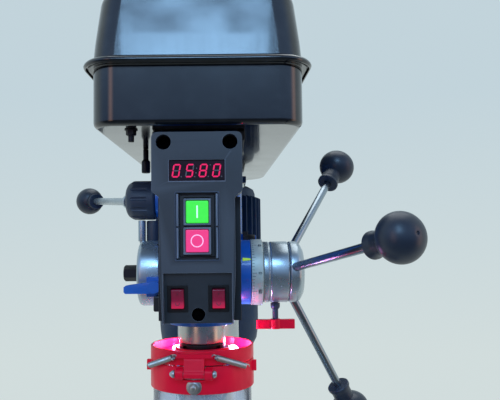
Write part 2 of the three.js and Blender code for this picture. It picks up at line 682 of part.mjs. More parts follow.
function beltLid() {
  const { low, rim, shoulder, top, overhang, wall } = LID;
  const outer = loft([
    level(low, -overhang), level(rim - 3, -overhang - 1), level(rim, 1.5 - overhang), level(rim + 1.5, 0),
    level(shoulder, 0, 6), level(shoulder + 13, 0, 12), level(top, 0, 32),
  ]);
  const inner = loft([
    level(low - 1, wall - overhang), level(rim - 2, wall - overhang), level(rim - 0.5, wall),
    level(shoulder, wall, 6), level(shoulder + 11, wall, 12), level(top - wall, wall, 32),
  ]);
  const ears = [-1, 1].flatMap((side) => {
    const [x0, x1] = [side * (29 + GAP), side * 39].sort((a, b) => a - b);
    return [
      box(x0, x1, COVER.back + 6.5, HINGE_PIN.y, HINGE_PIN.z - 2.6, HINGE_PIN.z + 5.5),
      rod(4.5, V(x0, HINGE_PIN.y, HINGE_PIN.z), V(x1, HINGE_PIN.y, HINGE_PIN.z), MIDDLE),
    ];
  });
  return cut(join(cut(outer, inner), ...ears), hingePinHole());
}

// A grooved pulley with a long sleeve below it.
const pulley = (radius, bore, sleeve, sleeveBottom, z0, z1) => turned([
  [bore, sleeveBottom], [sleeve, sleeveBottom], [sleeve, z0], [radius, z0], [radius, z0 + 3],
  [radius - 11, BELT_Z - 3], [radius - 11, BELT_Z + 3], [radius, z1 - 3], [radius, z1], [bore, z1],
  [bore, sleeveBottom],
], ROUND);

const GROOVE = { out: 3, half: 11 };

const spindlePulley = () => pulley(
  PULLEY.spindle + GROOVE.out, SPINDLE.radius + RUN + 0.1, 16.5, 777,
  BELT_Z - GROOVE.half, BELT_Z + GROOVE.half,
);

const motorPulley = () => pulley(
  PULLEY.motor + GROOVE.out, MOTOR.shaft + GAP, 12, 806,
  BELT_Z - GROOVE.half, BELT_Z + GROOVE.half,
);

// The outline of a belt that runs round both pulleys at the given distance outside their pitch circles.
function beltLoop(outside, z0, z1) {
  const span = Math.hypot(MOTOR.x, MOTOR.y);
  const [large, small] = [PULLEY.spindle + outside, PULLEY.motor + outside];
  const lean = Math.asin((large - small) / span);
  const points = [];
  const steps = 14;
  for (let i = 0; i <= steps; i += 1) {
    const a = Math.PI / 2 - lean + (Math.PI + 2 * lean) * i / steps;
    points.push([large * Math.cos(a), large * Math.sin(a)]);
  }
  for (let i = 0; i <= steps; i += 1) {
    const a = -Math.PI / 2 + lean + (Math.PI - 2 * lean) * i / steps;
    points.push([span + small * Math.cos(a), small * Math.sin(a)]);
  }
  return slab(outline(points), z0, z1);
}

function driveBelt() {
  const outer = beltLoop(1.8, BELT_Z - 4.2, BELT_Z + 4.2);
  const inner = beltLoop(-3.2, BELT_Z - 6, BELT_Z + 6);
  return cut(outer, inner).rotateZ(Math.atan2(MOTOR.y, MOTOR.x));
}

const lidHingePin = () => rod(
  HINGE_PIN.radius,
  V(-42, HINGE_PIN.y, HINGE_PIN.z),
  V(42, HINGE_PIN.y, HINGE_PIN.z),
  SMALL,
);

// ---- motor ----
function motorHousing() {
  const { radius, fins, shaft, bottom, top } = MOTOR;
  const shell = turned([
    [0, bottom], [radius - 22, bottom], [radius - 8, bottom + 5], [radius - 2, bottom + 14],
    [radius, bottom + 34], [radius, bottom + 68], [fins, bottom + 72], [fins, top - 36],
    [radius - 3, top - 30], [radius - 3, top - 8], [radius - 12, top], [0, top],
  ], ROUND);
  const inside = 56;
  const chamber = turned([[0, bottom + 8], [inside, bottom + 8], [inside, top - 14], [0, top - 14]], MIDDLE);
  const bore = post(shaft + RUN, top - 20, top + 1, MIDDLE);
  const plate = box(-52, 52, -70, 45, top, top + 8);
  return cut(join(shell, plate), chamber, bore, post(13, top - 1, top + 9, MIDDLE));
}

function motorRotor() {
  const { shaft, bottom, top } = MOTOR;
  const core = 40;
  const shaftTop = BELT_Z + 14;
  return turned([
    [0, bottom + 12], [shaft, bottom + 12], [shaft, bottom + 40], [core, bottom + 40],
    [core, top - 40], [shaft, top - 40], [shaft, shaftTop], [0, shaftTop],
  ], MIDDLE);
}

// ---- controls ----
function controlBox() {
  return cut(
    box(-33.8, 36, FACE.back + GAP, HEAD.front - GAP, 631, 735),
    box(-30, 32, FACE.back - 1, HEAD.front - 4, 640, 731),
  );
}

const WELL = { half: 17.6, bottom: 682, top: 737.6, depth: 6 };
const BUTTON = { half: 9.1, travel: 3 };
const START_Z = 721.7;
const STOP_Z = 697.6;
const ROCKER = { x: 17, z: 650.3, half: 5.15, tall: 8.2 };
const ROCKER_TIP = THREE.MathUtils.degToRad(9); // at rest the lower end is pressed in
const DISPLAY = { half: 23.4, tall: 8.9, z: 755.8 };
const LOWER = { top: -72, bottom: -64, half: 28.2 }; // the sloping recess between two cheeks

function lowerFaceCut() {
  const shape = outline([
    [FACE.front - 1, FACE.bottom - 1], [LOWER.bottom, FACE.bottom - 1], [LOWER.top, FACE.step],
    [FACE.front - 1, FACE.step],
  ]);
  const block = slab(shape, -LOWER.half, LOWER.half);
  return block.applyMatrix4(new THREE.Matrix4().makeBasis(V(0, 1, 0), V(0, 0, 1), V(1, 0, 0)));
}

function controlFace() {
  const rightSide = [
    [FACE.foot, FACE.bottom], [FACE.waist, FACE.step], [FACE.waist, FACE.shoulder], [FACE.half, FACE.neck],
    [FACE.half, FACE.top - 3], [FACE.half - 3, FACE.top],
  ];
  const leftSide = rightSide.map(([x, z]) => [-x, z]).reverse();
  const body = upright([...rightSide, ...leftSide], FACE.front, FACE.back);
  const through = FACE.back + 1;
  const well = box(-WELL.half, WELL.half, FACE.front - 1, FACE.front + WELL.depth, WELL.bottom, WELL.top);
  const buttonHoles = [START_Z, STOP_Z].map((z) => box(
    -BUTTON.half - 0.5, BUTTON.half + 0.5, FACE.front, through, z - BUTTON.half - 0.5, z + BUTTON.half + 0.5,
  ));
  const display = box(
    -DISPLAY.half, DISPLAY.half, FACE.front - 1, FACE.front + 5, DISPLAY.z - DISPLAY.tall,
    DISPLAY.z + DISPLAY.tall,
  );
  const rockers = [-1, 1].map((side) => box(
    side * ROCKER.x - ROCKER.half - 0.5, side * ROCKER.x + ROCKER.half + 0.5, FACE.front, through,
    ROCKER.z - ROCKER.tall - 0.8, ROCKER.z + ROCKER.tall + 0.8,
  ));
  const screwHoles = [[-27.6, 779.7, 5], [27.6, 779.7, 5], [0, 636.6, 4.6]].map(
    ([x, z, r]) => rod(r, V(x, FACE.front - 1, z), V(x, FACE.back - 3, z), SMALL),
  );
  return cut(body, lowerFaceCut(), well, ...buttonHoles, display, ...rockers, ...screwHoles);
}

const displayWindow = () => box(
  -DISPLAY.half + GAP, DISPLAY.half - GAP, FACE.front + 1.2, FACE.front + 5 - GAP,
  DISPLAY.z - DISPLAY.tall + GAP, DISPLAY.z + DISPLAY.tall - GAP,
);

const pushButton = (front) => box(
  -BUTTON.half, BUTTON.half, front, FACE.back + 4, -BUTTON.half, BUTTON.half,
);

const rockerSwitch = () => upright([
  [-ROCKER.half, -ROCKER.tall + 0.5], [ROCKER.half, -ROCKER.tall + 0.5],
  [ROCKER.half, ROCKER.tall - 0.5], [-ROCKER.half, ROCKER.tall - 0.5],
], -3, 3).rotateX(ROCKER_TIP);

// ---- chuck guard, drawn about the spindle with its hinge at the front ----
const HINGE = { y: -GUARD.radius - 4, z: 585 };

function guardRing() {
  const { radius, wall, top, split } = GUARD;
  const wallRing = ring(radius - wall, radius, split + 1, top, FINE);
  const plate = ring(GUARD_PLATE.inner, radius - 1, GUARD_PLATE.bottom, GUARD_PLATE.top, FINE);
  const hub = ring(GUARD_PLATE.inner, GUARD_PLATE.inner + 4, GUARD_PLATE.bottom, GUARD_PLATE.hub, ROUND);
  const { half } = GUARD_BAR;
  const bar = box(-half, half, -radius - 2.5, -radius + 1.5, GUARD_BAR.bottom, GUARD_BAR.top);
  const tongue = box(-8.8, 8.8, -radius - 6.8, -radius + 1, HINGE.z - 3.6, GUARD_BAR.bottom + 0.5);
  const underCut = box(-10, 10, -radius - 1, -radius + 9, HINGE.z - 6, split + 0.9);
  const pinHole = rod(1.9, V(-12, HINGE.y, HINGE.z), V(12, HINGE.y, HINGE.z), SMALL);
  const light = () => post(5, GUARD_PLATE.bottom - 1, GUARD_PLATE.top + 1, SMALL);
  const lights = [-1, 1].map((side) => light().translate(side * 27, 20, 0));
  return cut(join(wallRing, plate, hub, bar, tongue), underCut, pinHole, ...lights);
}

// The part of a ring that covers the front, leaving the back open.
function openRing(inner, outer, z0, z1, openHalf) {
  const back = outer + 10;
  const wedge = outline([[0, 0], [openHalf, back], [-openHalf, back]]);
  return cut(ring(inner, outer, z0, z1, FINE), slab(wedge, z0 - 1, z1 + 1));
}

function guardBand() {
  const { radius, wall, split, bottom } = GUARD;
  const band = openRing(radius - wall, radius, bottom, split, 52);
  const ears = [-1, 1].map((side) => box(
    side * 12.6 - 3.4, side * 12.6 + 3.4, -radius - 7.2, -radius + 3, HINGE.z - 4.2, HINGE.z + 3.6,
  ));
  const tabs = [-1, 1].map((side) => box(
    side * (radius + 1) - 2, side * (radius + 1) + 2, -9, -5, 580, 589.5,
  ));
  const notch = box(-9.2, 9.2, -radius - 1, -radius + 9, HINGE.z - 5.6, split + 1);
  const pinHole = rod(1.9, V(-20, HINGE.y, HINGE.z), V(20, HINGE.y, HINGE.z), SMALL);
  return cut(join(band, ...ears, ...tabs), notch, pinHole);
}

const guardShield = () => openRing(
  GUARD.radius - GUARD.wall - 2.3,
  GUARD.radius - GUARD.wall - GAP,
  GUARD.shield,
  580,
  60,
);

const guardPin = () => join(
  rod(1.6, V(-21, HINGE.y, HINGE.z), V(20, HINGE.y, HINGE.z), SMALL),
  rod(3.4, V(-16.4, HINGE.y, HINGE.z), V(-21, HINGE.y, HINGE.z), SMALL),
  rod(3, V(16.4, HINGE.y, HINGE.z), V(18.4, HINGE.y, HINGE.z), SMALL),
);

// A tension spring's outer shape between the bar's end and a tab on the band.
const guardSpring = (side) => rod(
  2.6,
  V(side * 19.5, -GUARD.radius - 3.4, (GUARD_BAR.bottom + GUARD_BAR.top) / 2),
  V(side * 45, -GUARD.radius + 21, 588),
  12,
);

// ---- assembly ----
const drillPress = new THREE.Group();
drillPress.name = 'drill_press';

function outwardFacing(geometry) {
  const flat = positionsOnly(geometry);
  const p = flat.attributes.position;
  const index = flat.index.array;
  const corner = (i) => V(p.getX(i), p.getY(i), p.getZ(i));
  let volume = 0;
  for (let i = 0; i < index.length; i += 3) {
    volume += corner(index[i]).dot(corner(index[i + 1]).cross(corner(index[i + 2])));
  }
  if (volume < 0) {
    for (let i = 0; i < index.length; i += 3) {
      [index[i], index[i + 1]] = [index[i + 1], index[i]];
    }
  }
  return flat;
}

function add(name, geometry, look, parent = drillPress, place = [0, 0, 0]) {
  const mesh = new THREE.Mesh(outwardFacing(geometry), new THREE.MeshStandardMaterial(look));
  mesh.name = name;
  mesh.position.set(...place);
  parent.add(mesh);
}

function group(x, y, z, yaw = 0) {
  const made = new THREE.Group();
  made.position.set(x, y, z);
  made.rotation.z = THREE.MathUtils.degToRad(yaw);
  drillPress.add(made);
  return made;
}

add('base_casting', baseCasting(), BLUE);
add('column_flange', columnFlange(), BLUE);
add('column_tube', columnTube(), STEEL);
add('lift_rack', liftRack(), STEEL);
add('rack_collar', rackCollar(), BLUE);
add('table_bracket', tableBracket(), BLUE);
add('table', table(), IRON);
add('bracket_lock_lever', bracketLockLever(), BLACK_PLASTIC);

const crank = group(0, CRANK_Y, CRANK_Z);
add('crank_pinion', crankPinion(), STEEL, crank);
add('crank_arm', crankArm(), BLACK_PAINT, crank);
add('crank_knob', crankKnob(), GLOSS_BLACK, crank);

add('head_casting', headCasting(), BLUE);
add('quill', quill(), STEEL);

const nose = group(0, 0, QUILL.bottom);
add('quill_bearing', quillBearing(), STEEL, nose);
add('quill_nose_nut', quillNoseNut(), BLACK_PAINT, nose);
add('spindle', spindle(), STEEL, nose);
add('chuck_body', chuckBody(), CHROME, nose);
add('chuck_sleeve', chuckSleeve(), CHROME, nose);
for (const i of [0, 1, 2]) {
  add(`chuck_jaw_${i + 1}`, chuckJaw(i * 2 * Math.PI / 3), STEEL, nose);
}

const feed = group(0, FEED.y, FEED.z);
add('feed_shaft', feedShaft(), STEEL, feed);
add('feed_hub', feedHub(), CHROME, feed);
for (const i of [0, 1, 2]) {
  add(`feed_spoke_${i + 1}`, feedSpoke(i), CHROME, feed);
  add(`feed_knob_${i + 1}`, feedKnob(i), GLOSS_BLACK, feed);
}
add('depth_ring', depthRing(), STEEL, feed);
add('depth_collar', depthCollar(), CHROME, feed);
add('depth_lock_wing', depthLockWing(), RED, feed);
add('return_spring', returnSpring(), STEEL, feed);
add('spring_cap', springCap(), CHROME, feed);
add('spring_nut', springNut(), BLACK_PAINT, feed);

add('quill_lock_lever', quillLockLever(), BLUE, group(LOCK.x, 0, LOCK.z));

const speed = group(0, SPEED.y, SPEED.z);
const ballAt = V(-76, 14, 0).addScaledVector(BALL_WAY, 118 + 16 + GAP);
add('speed_hub', cut(speedHub(), rod(4.3, V(-76, 14 - GAP, 0), ballAt, SMALL)), BLACK_PLASTIC, speed);
add('speed_rod', speedRod(), CHROME, speed);
add('speed_ball', speedBall(), GLOSS_BLACK, speed, ballAt.toArray());

add('belt_pan', beltPan(), BLACK_PAINT);
add('belt_lid', beltLid(), BLACK_PAINT);
add('lid_hinge_pin', lidHingePin(), STEEL);
add('spindle_pulley', spindlePulley(), STEEL);
add('drive_belt', driveBelt(), BLACK_PLASTIC);

const motor = group(MOTOR.x, MOTOR.y, 0);
add('motor_pulley', motorPulley(), STEEL, motor);
add('motor_housing', motorHousing(), GREY_PAINT, motor);
add('motor_rotor', motorRotor(), STEEL, motor);

add('control_box', controlBox(), BLACK_PLASTIC);
add('control_face', controlFace(), BLACK_PLASTIC);
add('display_window', displayWindow(), GLOSS_BLACK);
add('start_button', pushButton(FACE.front + 1), GREEN, drillPress, [0, 0, START_Z]);
add('stop_button', pushButton(FACE.front - 2), RED, drillPress, [0, 0, STOP_Z]);
for (const [name, side] of [['rocker_left', -1], ['rocker_right', 1]]) {
  add(name, rockerSwitch(), RED, drillPress, [side * ROCKER.x, -67, ROCKER.z]);
}

const guard = group(0, 0, 0, GUARD.yaw);
add('guard_ring', guardRing(), RED, guard);
add('guard_band', guardBand(), RED, guard);
add('guard_shield', guardShield(), CLEAR, guard);
add('guard_pin', guardPin(), CHROME, guard);
add('guard_spring_left', guardSpring(-1), STEEL, guard);
add('guard_spring_right', guardSpring(1), STEEL, guard);

export default drillPress;
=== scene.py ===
"""Looks for a bench drill press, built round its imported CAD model. Lengths in the pieces are millimetres."""
import json
import math

import bmesh
import bpy
from mathutils import Matrix, Vector

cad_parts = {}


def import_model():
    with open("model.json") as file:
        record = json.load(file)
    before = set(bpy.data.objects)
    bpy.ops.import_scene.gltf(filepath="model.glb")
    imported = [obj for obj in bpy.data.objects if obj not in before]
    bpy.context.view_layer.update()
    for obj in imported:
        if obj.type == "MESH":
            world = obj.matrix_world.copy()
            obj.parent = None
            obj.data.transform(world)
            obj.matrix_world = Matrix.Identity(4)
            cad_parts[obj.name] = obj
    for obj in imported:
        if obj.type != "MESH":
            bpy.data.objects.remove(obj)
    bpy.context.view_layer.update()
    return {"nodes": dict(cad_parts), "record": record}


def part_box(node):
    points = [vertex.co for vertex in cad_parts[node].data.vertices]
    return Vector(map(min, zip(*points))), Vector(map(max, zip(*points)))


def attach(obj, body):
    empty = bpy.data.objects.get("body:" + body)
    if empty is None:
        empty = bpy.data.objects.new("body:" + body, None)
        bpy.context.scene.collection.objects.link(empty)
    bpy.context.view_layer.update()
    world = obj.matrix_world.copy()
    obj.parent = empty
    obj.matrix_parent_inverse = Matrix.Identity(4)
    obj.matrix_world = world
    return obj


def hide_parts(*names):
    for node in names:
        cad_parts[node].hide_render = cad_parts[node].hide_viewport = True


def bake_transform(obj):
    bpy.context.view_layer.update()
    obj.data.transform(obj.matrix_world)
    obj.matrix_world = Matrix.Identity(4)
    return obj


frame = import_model()
BODY_OF = {
    node: body
    for body, nodes in frame["record"]["behaviour"]["bodies"].items()
    for node in nodes
}

MM = 0.001
FULL = 2 * math.pi
ROUND = 96  # sides of a large round
MEDIUM = 48
SMALL = 24


def edges(node):
    """Lowest and highest corner of a CAD node, in millimetres."""
    return [Vector(corner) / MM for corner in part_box(node)]


def middle(node):
    """Centre of a CAD node's box, in millimetres."""
    low, high = edges(node)
    return (low + high) / 2


# ---- placing ----
def shifted(x, y, z):
    return Matrix.Translation((x, y, z))


def aimed(direction, origin=(0, 0, 0)):
    """Turns a shape made along Z to the given direction, and moves it to the origin given."""
    turn = Vector((0, 0, 1)).rotation_difference(Vector(direction).normalized()).to_matrix().to_4x4()
    return shifted(*origin) @ turn


def about(axis, degrees):
    return Matrix.Rotation(math.radians(degrees), 4, axis)


ALONG_X = about("Y", 90)
ALONG_Y = about("X", -90)

# ---- driving dimensions ----
FEED_Y, FEED_Z = middle("feed_shaft").yz
FEED = shifted(0, FEED_Y, FEED_Z)
COLUMN_Y = middle("column_tube").y
COLUMN_RADIUS = 36.5
SPOKE_APEX = 75
SPOKE_LEAN = math.atan2(78, 156)
SPOKE_END = 154
DEPTH_LOCK_X = 71
GLAND = shifted(0, 150, 700)

COVER_FRONT, COVER_BACK, COVER_TOP = -67, 353, 930
COVER_HALF_FRONT, COVER_HALF_BACK = 91.6, 80
RIM_LOW = 847.9
PAN_BOTTOM, PAN_TOP = 796, 850
LID_HINGE_Y, LID_HINGE_Z = middle("lid_hinge_pin").yz

FACE_FRONT = edges("control_face")[0].y
FACE_BACK = -60.3
FACE_OUTLINE = [
    (-29, 629.3), (29, 629.3), (31.2, 671.4), (31.2, 734), (37.6, 738.5), (37.6, 788),
    (-37.6, 788), (-37.6, 738.5), (-31.2, 734), (-31.2, 671.4),
]
FACE_ROUNDING = [1.5, 1.5, 0, 2, 2, 5.5, 5.5, 2, 2, 0]
FACE_SCREWS = [(-27.6, 779.7, 6.4, 66), (27.6, 779.7, 6.4, 66), (0, 636.6, 5.7, 62.2)]  # x, z, radius, depth
WELL = (-17.6, 17.6, 682, 737.6)
DISPLAY = (-23.4, 23.4, 746.9, 764.7)
ROCKER_X, ROCKER_Y, ROCKER_Z = 17, -67, 650.3

# The chuck guard is drawn about the spindle with its hinge at the front.
GUARD_YAW = about("Z", -5.5)
GUARD_RADIUS, GUARD_INNER, GUARD_SPLIT = 47.8, 45.8, 590
GUARD_HINGE_Y, GUARD_HINGE_Z = -51.8, 585
RING_TOP, PLATE_LOW, PLATE_TOP, HUB_TOP = 603.4, 593.6, 595.6, 600.6
BAR_LOW, BAR_TOP = 598, 601.5
LAMPS = [(-27, 20), (27, 20)]


# ---- shapes, each a bmesh in millimetres ----
def softened(points, radius, steps=3, closed=False):
    """Rounds the corners of a line of 2D points. A corner keeps its place if its radius is 0."""
    count = len(points)
    radii = radius if isinstance(radius, (list, tuple)) else [radius] * count
    result = []
    for i, point in enumerate(points):
        at = Vector(point)
        is_end = not closed and i in (0, count - 1)
        if is_end or radii[i] == 0:
            result.append(at)
            continue
        before = Vector(points[i - 1]) - at
        after = Vector(points[(i + 1) % count]) - at
        reach = min(radii[i], before.length * 0.45, after.length * 0.45)
        start = at + before.normalized() * reach
        end = at + after.normalized() * reach
        for k in range(steps + 1):
            t = k / steps
            result.append(start.lerp(at, t).lerp(at.lerp(end, t), t))
    return result


def turned(profile, sides=ROUND, radius=0.0, closed=False):
    """A solid of revolution about Z from (radius, z) points, with its corners rounded."""
    return spun(softened(profile, radius, closed=closed), sides, closed)


def spun(line, sides, closed=False, groove=0.0, is_grooved=None):
    """A solid of revolution from (radius, z) or (radius, z, has_ridges) points, grooved where told to be."""
    bm = bmesh.new()
    rings = []
    for r, z, *ridges in line:
        if r < 1e-6:
            rings.append([bm.verts.new((0, 0, z))])
            continue
        ring = []
        for k in range(sides):
            reach = r - groove if any(ridges) and is_grooved(k) else r
            angle = FULL * k / sides
            ring.append(bm.verts.new((reach * math.cos(angle), reach * math.sin(angle), z)))
        rings.append(ring)
    pairs = list(zip(rings, rings[1:]))
    if closed:
        pairs.append((rings[-1], rings[0]))
    for low, high in pairs:
        skin(bm, low, high)
    bmesh.ops.recalc_face_normals(bm, faces=bm.faces)
    return bm


def round_bar(radius, low, high, sides=ROUND, soft=0.0):
    return turned([(0, low), (radius, low), (radius, high), (0, high)], sides, soft)


def sleeve(inner, outer, low, high, sides=ROUND, soft=0.0):
    return turned([(inner, low), (outer, low), (outer, high), (inner, high)], sides, soft, closed=True)


def skin(bm, low, high):
    """Faces between two rings of vertices, either of which may be a single point."""
    sides = max(len(low), len(high))
    if sides == 1:
        return
    for k in range(sides):
        n = (k + 1) % sides
        if len(low) == 1:
            bm.faces.new((low[0], high[n], high[k]))
        elif len(high) == 1:
            bm.faces.new((low[k], low[n], high[0]))
        else:
            bm.faces.new((low[k], low[n], high[n], high[k]))


def lofted(rings):
    """A closed solid through rings of 3D points, capped at both ends."""
    bm = bmesh.new()
    made = [[bm.verts.new(p) for p in ring] for ring in rings]
    for low, high in zip(made, made[1:]):
        skin(bm, low, high)
    bm.faces.new(made[0][::-1])
    bm.faces.new(made[-1])
    bmesh.ops.recalc_face_normals(bm, faces=bm.faces)
    return bm


def outlined(points, radius):
    """A closed 2D outline with its corners rounded, if it has a radius."""
    return softened(points, radius, steps=5, closed=True) if radius else [Vector(p) for p in points]


def prism(outline, low, high, radius=0.0):
    """A 2D outline drawn in X and Y, extruded along Z."""
    return lofted([[(p.x, p.y, z) for p in outlined(outline, radius)] for z in (low, high)])


def upright(outline, front, back, radius=0.0):
    """A 2D outline drawn in X and Z, extruded along Y."""
    return lofted([[(p.x, y, p.y) for p in outlined(outline, radius)] for y in (front, back)])


def sideways(outline, left, right):
    """A 2D outline drawn in Y and Z, extruded along X."""
    return lofted([[(x, y, z) for y, z in outline] for x in (left, right)])


def block(x0, x1, y0, y1, z0, z1):
    return prism(rectangle(x0, x1, y0, y1), z0, z1)


def rectangle(x0, x1, y0, y1):
    return [(x0, y0), (x1, y0), (x1, y1), (x0, y1)]


def tube(points, radius, sides):
    """A round wire along a line of points, with its section carried along without twisting."""
    path = [Vector(p) for p in points]
    rings = []
    normal = None
    for i, at in enumerate(path):
        way = (path[min(i + 1, len(path) - 1)] - path[max(i - 1, 0)]).normalized()
        if normal is None:
            normal = way.orthogonal().normalized()
        normal = (normal - way * normal.dot(way)).normalized()
        side = way.cross(normal)
        rings.append([
            at + (normal * math.cos(FULL * k / sides) + side * math.sin(FULL * k / sides)) * radius
            for k in range(sides)
        ])
    return lofted(rings)


def hexagon(across_flats):
    r = across_flats / math.sqrt(3)
    return [(r * math.cos(FULL * k / 6), r * math.sin(FULL * k / 6)) for k in range(6)]


def moved(bm, *matrices):
    for matrix in matrices:
        bmesh.ops.transform(bm, matrix=matrix, verts=bm.verts)
    return bm


def gathered(*shapes):
    """Several shapes as one mesh of separate islands."""
    whole = bmesh.new()
    for shape in shapes:
        scrap = bpy.data.meshes.new("scrap")
        shape.to_mesh(scrap)
        shape.free()
        whole.from_mesh(scrap)
        bpy.data.meshes.remove(scrap)
    return whole


def loose(bm, name="tool"):
    data = bpy.data.meshes.new(name)
    bm.to_mesh(data)
    bm.free()
    obj = bpy.data.objects.new(name, data)
    bpy.context.scene.collection.objects.link(obj)
    return obj


def carved(shape, tools, operation="DIFFERENCE"):
    """A shape with each tool cut from it, or joined to it with operation UNION."""
    base = loose(shape)
    helpers = [loose(tool) for tool in tools]
    for helper in helpers:
        step = base.modifiers.new("step", "BOOLEAN")
        step.operation = operation
        step.solver = "EXACT"
        step.object = helper
    graph = bpy.context.evaluated_depsgraph_get()
    result = bpy.data.meshes.new_from_object(base.evaluated_get(graph))
    bm = bmesh.new()
    bm.from_mesh(result)
    for obj in [base, *helpers]:
        bpy.data.objects.remove(obj)
    return bm


def bolt_head(across_flats, height):
    """A hexagon head with a washer face below it and a chamfered top, made up along Z."""
    reach = across_flats / math.sqrt(3)
    cone = turned([
        (0, 0), (reach * 1.1, 0), (reach * 1.1, height * 0.72), (across_flats * 0.46, height), (0, height),
    ], SMALL * 2)
    head = carved(prism(hexagon(across_flats), 0, height), [cone], "INTERSECT")
    washer = turned([(0, -0.9), (across_flats * 0.72, -0.9), (across_flats * 0.72, 0), (0, 0)], MEDIUM, 0.3)
    return gathered(head, washer)


# ---- pieces ----
def piece(
    name, bm, look, body="frame", replaces=(), slot=None,
    bevel=0.0, sharp=32, segments=2, flat=False, edge_look=None,
):
    """Makes a finished piece from a shape in millimetres, and sets it on its CAD body."""
    bmesh.ops.scale(bm, vec=(MM, MM, MM), verts=bm.verts)
    obj = loose(bm, name)
    obj.data.shade_smooth()
    obj.data.set_sharp_from_angle(angle=math.radians(sharp))
    obj.data.materials.append(look.owner)
    if bevel:
        edge = obj.modifiers.new("edges", "BEVEL")
        edge.width = bevel * MM
        edge.segments = segments
        edge.limit_method = "ANGLE"
        edge.angle_limit = math.radians(sharp)
        edge.use_clamp_overlap = True
        edge.harden_normals = True
        if edge_look:
            obj.data.materials.append(edge_look.owner)
            edge.material = 1
    if flat:
        obj.modifiers.new("flat_faces", "WEIGHTED_NORMAL").keep_sharp = True
    if body:
        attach(obj, body)
    if replaces:
        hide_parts(*replaces)
    return obj


def instead(node, bm, look, **options):
    """A piece that stands for one CAD node of the same name, on that node's body."""
    return piece(f"{node}_shaped", bm, look, BODY_OF[node], [node], **options)


def refined(node, look, bevel, **options):
    """The CAD node's own shape with its flats joined, its edges rounded and smooth shading."""
    bm = bmesh.new()
    bm.from_mesh(frame["nodes"][node].data)
    bmesh.ops.scale(bm, vec=(1 / MM, 1 / MM, 1 / MM), verts=bm.verts)
    bmesh.ops.remove_doubles(bm, verts=bm.verts, dist=0.002)
    bmesh.ops.dissolve_limit(bm, angle_limit=math.radians(0.5), verts=bm.verts, edges=bm.edges)
    return instead(node, bm, look, bevel=bevel, **options)


# ---- node trees ----
class Graph:
    """The node tree of a material, light or world, with short calls to add and link its nodes."""

    def __init__(self, owner):
        owner.use_nodes = True
        self.owner = owner
        self.tree = owner.node_tree

    def add(self, kind, inputs=None, **values):
        node = self.tree.nodes.new(kind)
        for key, value in values.items():
            setattr(node, key, value)
        self.fill(node, inputs or {})
        return node

    def fill(self, node, inputs):
        """Links an output to each input named or numbered, or sets the input to a plain value."""
        for key, value in inputs.items():
            socket = node.inputs[key]
            if isinstance(value, bpy.types.NodeSocket):
                self.tree.links.new(value, socket)
            elif socket.type == "RGBA":
                socket.default_value = (*value, 1)
            else:
                socket.default_value = value

    def split(self, place):
        return self.add("ShaderNodeSeparateXYZ", {"Vector": place}).outputs

    def ranged(self, value, low, high, start=0.3, end=0.7, **values):
        """Takes a value from the range start to end over to the range low to high."""
        inputs = {"Value": value, "From Min": start, "From Max": end, "To Min": low, "To Max": high}
        return self.add("ShaderNodeMapRange", inputs, **values).outputs["Result"]

    def ramp(self, value, stops):
        """Runs through colours over a value, from (position, colour) stops."""
        node = self.add("ShaderNodeValToRGB", {"Fac": value})
        bar = node.color_ramp.elements
        while len(bar) < len(stops):
            bar.new(0.5)
        for element, (position, colour) in zip(bar, stops):
            element.position = position
            element.color = (*colour, 1)
        return node.outputs["Color"]

    def mixed(self, factor, first, second):
        """Mixes two colours; either may be an output or a plain colour."""
        return self.add("ShaderNodeMix", {0: factor, 6: first, 7: second}, data_type="RGBA").outputs[2]


class Look(Graph):
    """A material, and a library slot name, which is not used."""

    def __init__(self, name, slot=None):
        super().__init__(bpy.data.materials.new(name))
        self.slot = slot
        self.place = self.add("ShaderNodeTexCoord").outputs

    def set(self, **values):
        """Sets or links the shader's inputs, each named with _ for a space."""
        inputs = {key.replace("_", " "): value for key, value in values.items()}
        self.fill(self.tree.nodes["Principled BSDF"], inputs)

    def noise(self, scale, detail=4.0, rough=0.55, stretch=(1, 1, 1)):
        place = self.add("ShaderNodeMapping", {"Scale": stretch, "Vector": self.place["Object"]}).outputs[0]
        inputs = {"Scale": scale, "Detail": detail, "Roughness": rough, "Vector": place}
        return self.add("ShaderNodeTexNoise", inputs).outputs["Fac"]

    def bump(self, *layers):
        """Bump from pairs of (height, depth in millimetres)."""
        under = {}
        for height, depth in layers:
            inputs = {"Strength": 1, "Distance": depth * MM, "Height": height, **under}
            under = {"Normal": self.add("ShaderNodeBump", inputs).outputs["Normal"]}
        self.set(**under)

    def edge_wear(self):
        """High on the raised edges of the surface: wear there, and a painted highlight where the edges catch
        the light.
        """
        return self.ranged(self.add("ShaderNodeNewGeometry").outputs["Pointiness"], 0, 1, 0.53, 0.62)


# ---- materials ----
def shade(colour, factor):
    return tuple(c * factor for c in colour)


def painted(name, slot, colour, roughness, coat, cast_depth, dust=(0.3, 0.33, 0.36), specular=0.5):
    """Gloss paint: a clear top layer with orange peel, over a surface that is smooth or cast."""
    look = Look(name, slot)
    tone = look.ramp(look.noise(14), [(0.3, shade(colour, 0.86)), (0.7, shade(colour, 1.12))])
    dusty = look.ranged(look.noise(60, 8, 0.7), 0, 0.05, 0.5, 0.8)
    look.set(
        Base_Color=look.mixed(dusty, tone, dust), IOR=1.5, Specular_IOR_Level=specular,
        Roughness=look.ranged(look.noise(25, 6), roughness * 0.75, roughness * 1.35),
        Coat_Weight=coat, Coat_Roughness=0.05,
    )
    look.bump((look.noise(900, 2), 0.03), (look.noise(160, 3), cast_depth))
    return look


